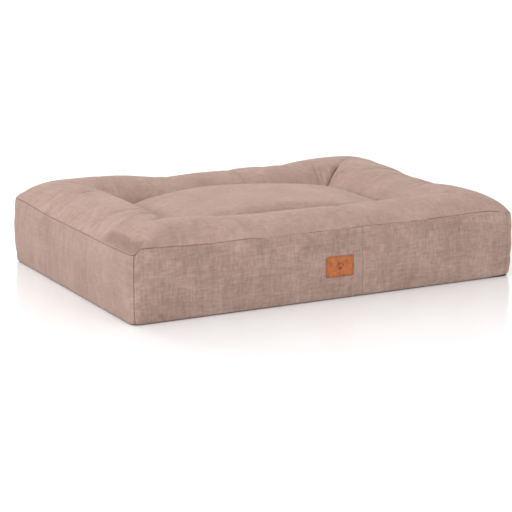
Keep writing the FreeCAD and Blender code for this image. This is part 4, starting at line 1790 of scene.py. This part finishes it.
    def _pull(self) -> bpy.types.Object:
        """Makes the pull: a bar under the bridge, two arms and a long flat tab."""
        low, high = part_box("zip_pull")
        work = bmesh.new()
        bar_x = high.x - 0.93 * MM
        y = (low.y + high.y) / 2
        z = self.level
        turn = Matrix.Translation((bar_x, y, z))
        bmesh.ops.create_cone(work, cap_ends=True, segments=16, radius1=0.9 * MM, radius2=0.9 * MM,
                              depth=4.4 * MM, matrix=turn)
        for sign in (1, -1):
            near, far = sorted((z + sign * 1.35 * MM, z + sign * 2.6 * MM))
            self._rounded_block(work, (bar_x - 6.4 * MM, y - 0.6 * MM, near),
                                (bar_x + 0.6 * MM, y + 0.6 * MM, far), 0.3 * MM)
        tab = bmesh.ops.create_circle(work, cap_ends=True, segments=32, radius=3.5 * MM)
        end = low.x + 3.5 * MM
        for vertex in tab["verts"]:
            flat = vertex.co.copy()
            x = end + flat.x if flat.x < 0 else bar_x - 5 * MM
            wide = flat.y if flat.x < 0 else flat.y * 0.86
            vertex.co = Vector((x, y - 0.55 * MM, z + wide))
        bmesh.ops.remove_doubles(work, verts=tab["verts"], dist=0.02 * MM)
        faces = [f for f in work.faces
                 if all(abs(v.co.y - (y - 0.55 * MM)) < 1e-6 for v in f.verts)]
        bmesh.ops.inset_region(work, faces=faces, thickness=1.1 * MM)
        raised = bmesh.ops.extrude_face_region(work, geom=faces)
        for item in raised["geom"]:
            if isinstance(item, bmesh.types.BMVert):
                item.co.y += 0.25 * MM
        pull = finish_bmesh(work, "zip_pull_tab")
        modifier = pull.modifiers.new("edge", "BEVEL")
        modifier.width = 0.12 * MM
        modifier.segments = 2
        return pull

    def _topstitch(self) -> bpy.types.Object:
        """Makes the rows of stitches above and below the zip."""
        graph = bpy.context.evaluated_depsgraph_get()
        places: list[Matrix] = []
        rows = ((self.wall_upper, self.level + 10 * MM), (self.wall_lower, self.level - 10 * MM))
        for wall, level in rows:
            tree = BVHTree.FromObject(wall, graph)
            count = round(2 * self.stitched_half / self.stitch_pitch)
            for i in range(count):
                x = (i - (count - 1) / 2) * self.stitch_pitch
                hit = tree.ray_cast(Vector((x, 1, level)), Vector((0, -1, 0)))[0]
                if hit is not None:
                    places.append(Matrix.Translation((x, hit.y + 0.05 * MM, level)))
        work = bmesh.new()
        repeat(work, bead(2.9 * MM, 0.7 * MM, 0.7 * MM, 6), places)
        return finish_bmesh(work, "zip_topstitch")


# ---- inner pieces and stage --------------------------------------------------------------


@dataclass
class InnerPieces:
    """What the cover hides: the foam slabs and the deck cloth under the loose cushion."""

    finishes: Finishes
    nodes: dict[str, bpy.types.Object]

    def build(self) -> None:
        """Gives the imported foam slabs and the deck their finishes."""
        for name in ("support_foam", "comfort_foam"):
            self._paint(name, self.finishes.foam)
        self._paint("deck_panel", self.finishes.deck)

    def _paint(self, name: str, material: bpy.types.Material) -> None:
        """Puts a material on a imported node."""
        mesh = self.nodes[name].data
        mesh.materials.clear()
        mesh.materials.append(material)
        LOG.info("%s: packed node in %s", name, material.name)


@dataclass
class Studio:
    """Floor, light and camera."""

    camera_place: Vector = field(default_factory=lambda: Vector((-2.1359, -4.0111, 1.0894)))
    camera_look: Vector = field(default_factory=lambda: Vector((0.4563, 0.8604, -0.2269)))
    lens: float = 127.43

    def build(self) -> None:
        """Sets the stage."""
        self._floor()
        self._world()
        self._area("key", Vector((-3.4, -0.9, 1.8)), 1.4, 58)
        self._area("back", Vector((-1.2, 2.8, 2.3)), 1.2, 36)
        self._area("front", Vector((0.8, -3.6, 1.3)), 2.2, 33)
        camera = bpy.data.cameras.new("camera")
        camera.sensor_width = 36
        camera.lens = self.lens
        made = bpy.data.objects.new("camera", camera)
        made.location = self.camera_place
        made.rotation_euler = self.camera_look.to_track_quat("-Z", "Y").to_euler()
        bpy.context.scene.collection.objects.link(made)
        bpy.context.scene.camera = made
        bpy.context.scene.view_settings.view_transform = "Standard"

    def _floor(self) -> None:
        """Makes the pale floor."""
        work = bmesh.new()
        bmesh.ops.create_grid(work, x_segments=1, y_segments=1, size=12.0)
        floor = finish_bmesh(work, "floor", smooth=False)
        n = Nodes("floor")
        tone = n.ramp(n.noise(n.add("ShaderNodeTexCoord").outputs["Object"], (0.6, 0.6, 0.6)),
                      [(0.3, (0.84, 0.84, 0.84)), (0.7, (0.87, 0.87, 0.87))])
        floor.data.materials.append(n.finish(tone, 0.14, Specular_IOR_Level=1.0))

    @staticmethod
    def _world() -> None:
        """Makes the white surroundings."""
        world = bpy.data.worlds.new("studio")
        bpy.context.scene.world = world
        world.use_nodes = True
        background = world.node_tree.nodes["Background"]
        background.inputs[0].default_value = (1, 1, 1, 1)
        background.inputs[1].default_value = 1.08

    @staticmethod
    def _area(name: str, place: Vector, size: float, power: float) -> None:
        """Adds a soft square light that looks at the bed."""
        light = bpy.data.lights.new(name, "AREA")
        light.energy = power
        light.size = size
        made = bpy.data.objects.new(name, light)
        made.location = place
        made.rotation_euler = (Vector((0, 0, 0.1)) - place).to_track_quat("-Z", "Y").to_euler()
        bpy.context.scene.collection.objects.link(made)


# ---- the bed -----------------------------------------------------------------------------


def main() -> None:
    """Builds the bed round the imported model."""
    logging.basicConfig(level=logging.INFO, format="%(message)s")
    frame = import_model()
    Studio().build()
    finishes = Finishes()
    base_low, base_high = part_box("bottom_panel")
    _, wall_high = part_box("left_wall")
    _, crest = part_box("front_bolster_cover")
    _, deck_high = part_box("deck_panel")
    cover = SewnCover(base_high.x, base_high.y, wall_high.z, crest.z - 3 * MM, deck_high.z + 1 * MM)
    ring = cover.build()
    cover.pump_up(ring)
    cover.crumple(ring)
    walls = WallPanels(cover, ring, finishes)
    walls.build()
    Bolsters(cover, ring, finishes).build()
    bpy.data.objects.remove(ring)
    pad_low, pad_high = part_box("centre_cushion_top")
    foot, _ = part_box("centre_cushion_bottom")
    LooseCushion(finishes, pad_high.x - 3 * MM, pad_high.y, foot.z, pad_low.z,
                 pad_high.z - 8 * MM).build()
    label_low, label_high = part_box("leather_label")
    LeatherLabel(finishes, walls.pieces["front_wall_main"], (label_low + label_high) / 2,
                 label_high.x - label_low.x, label_high.z - label_low.z).build()
    BaseCloth(finishes, base_low, base_high).build()
    zip_low, zip_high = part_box("zip_slider")
    BackZip(finishes, walls.pieces["back_wall_upper"], walls.pieces["back_wall_lower"],
            (zip_low.z + zip_high.z) / 2).build()
    InnerPieces(finishes, frame["nodes"]).build()


if __name__ == "__main__":
    main()
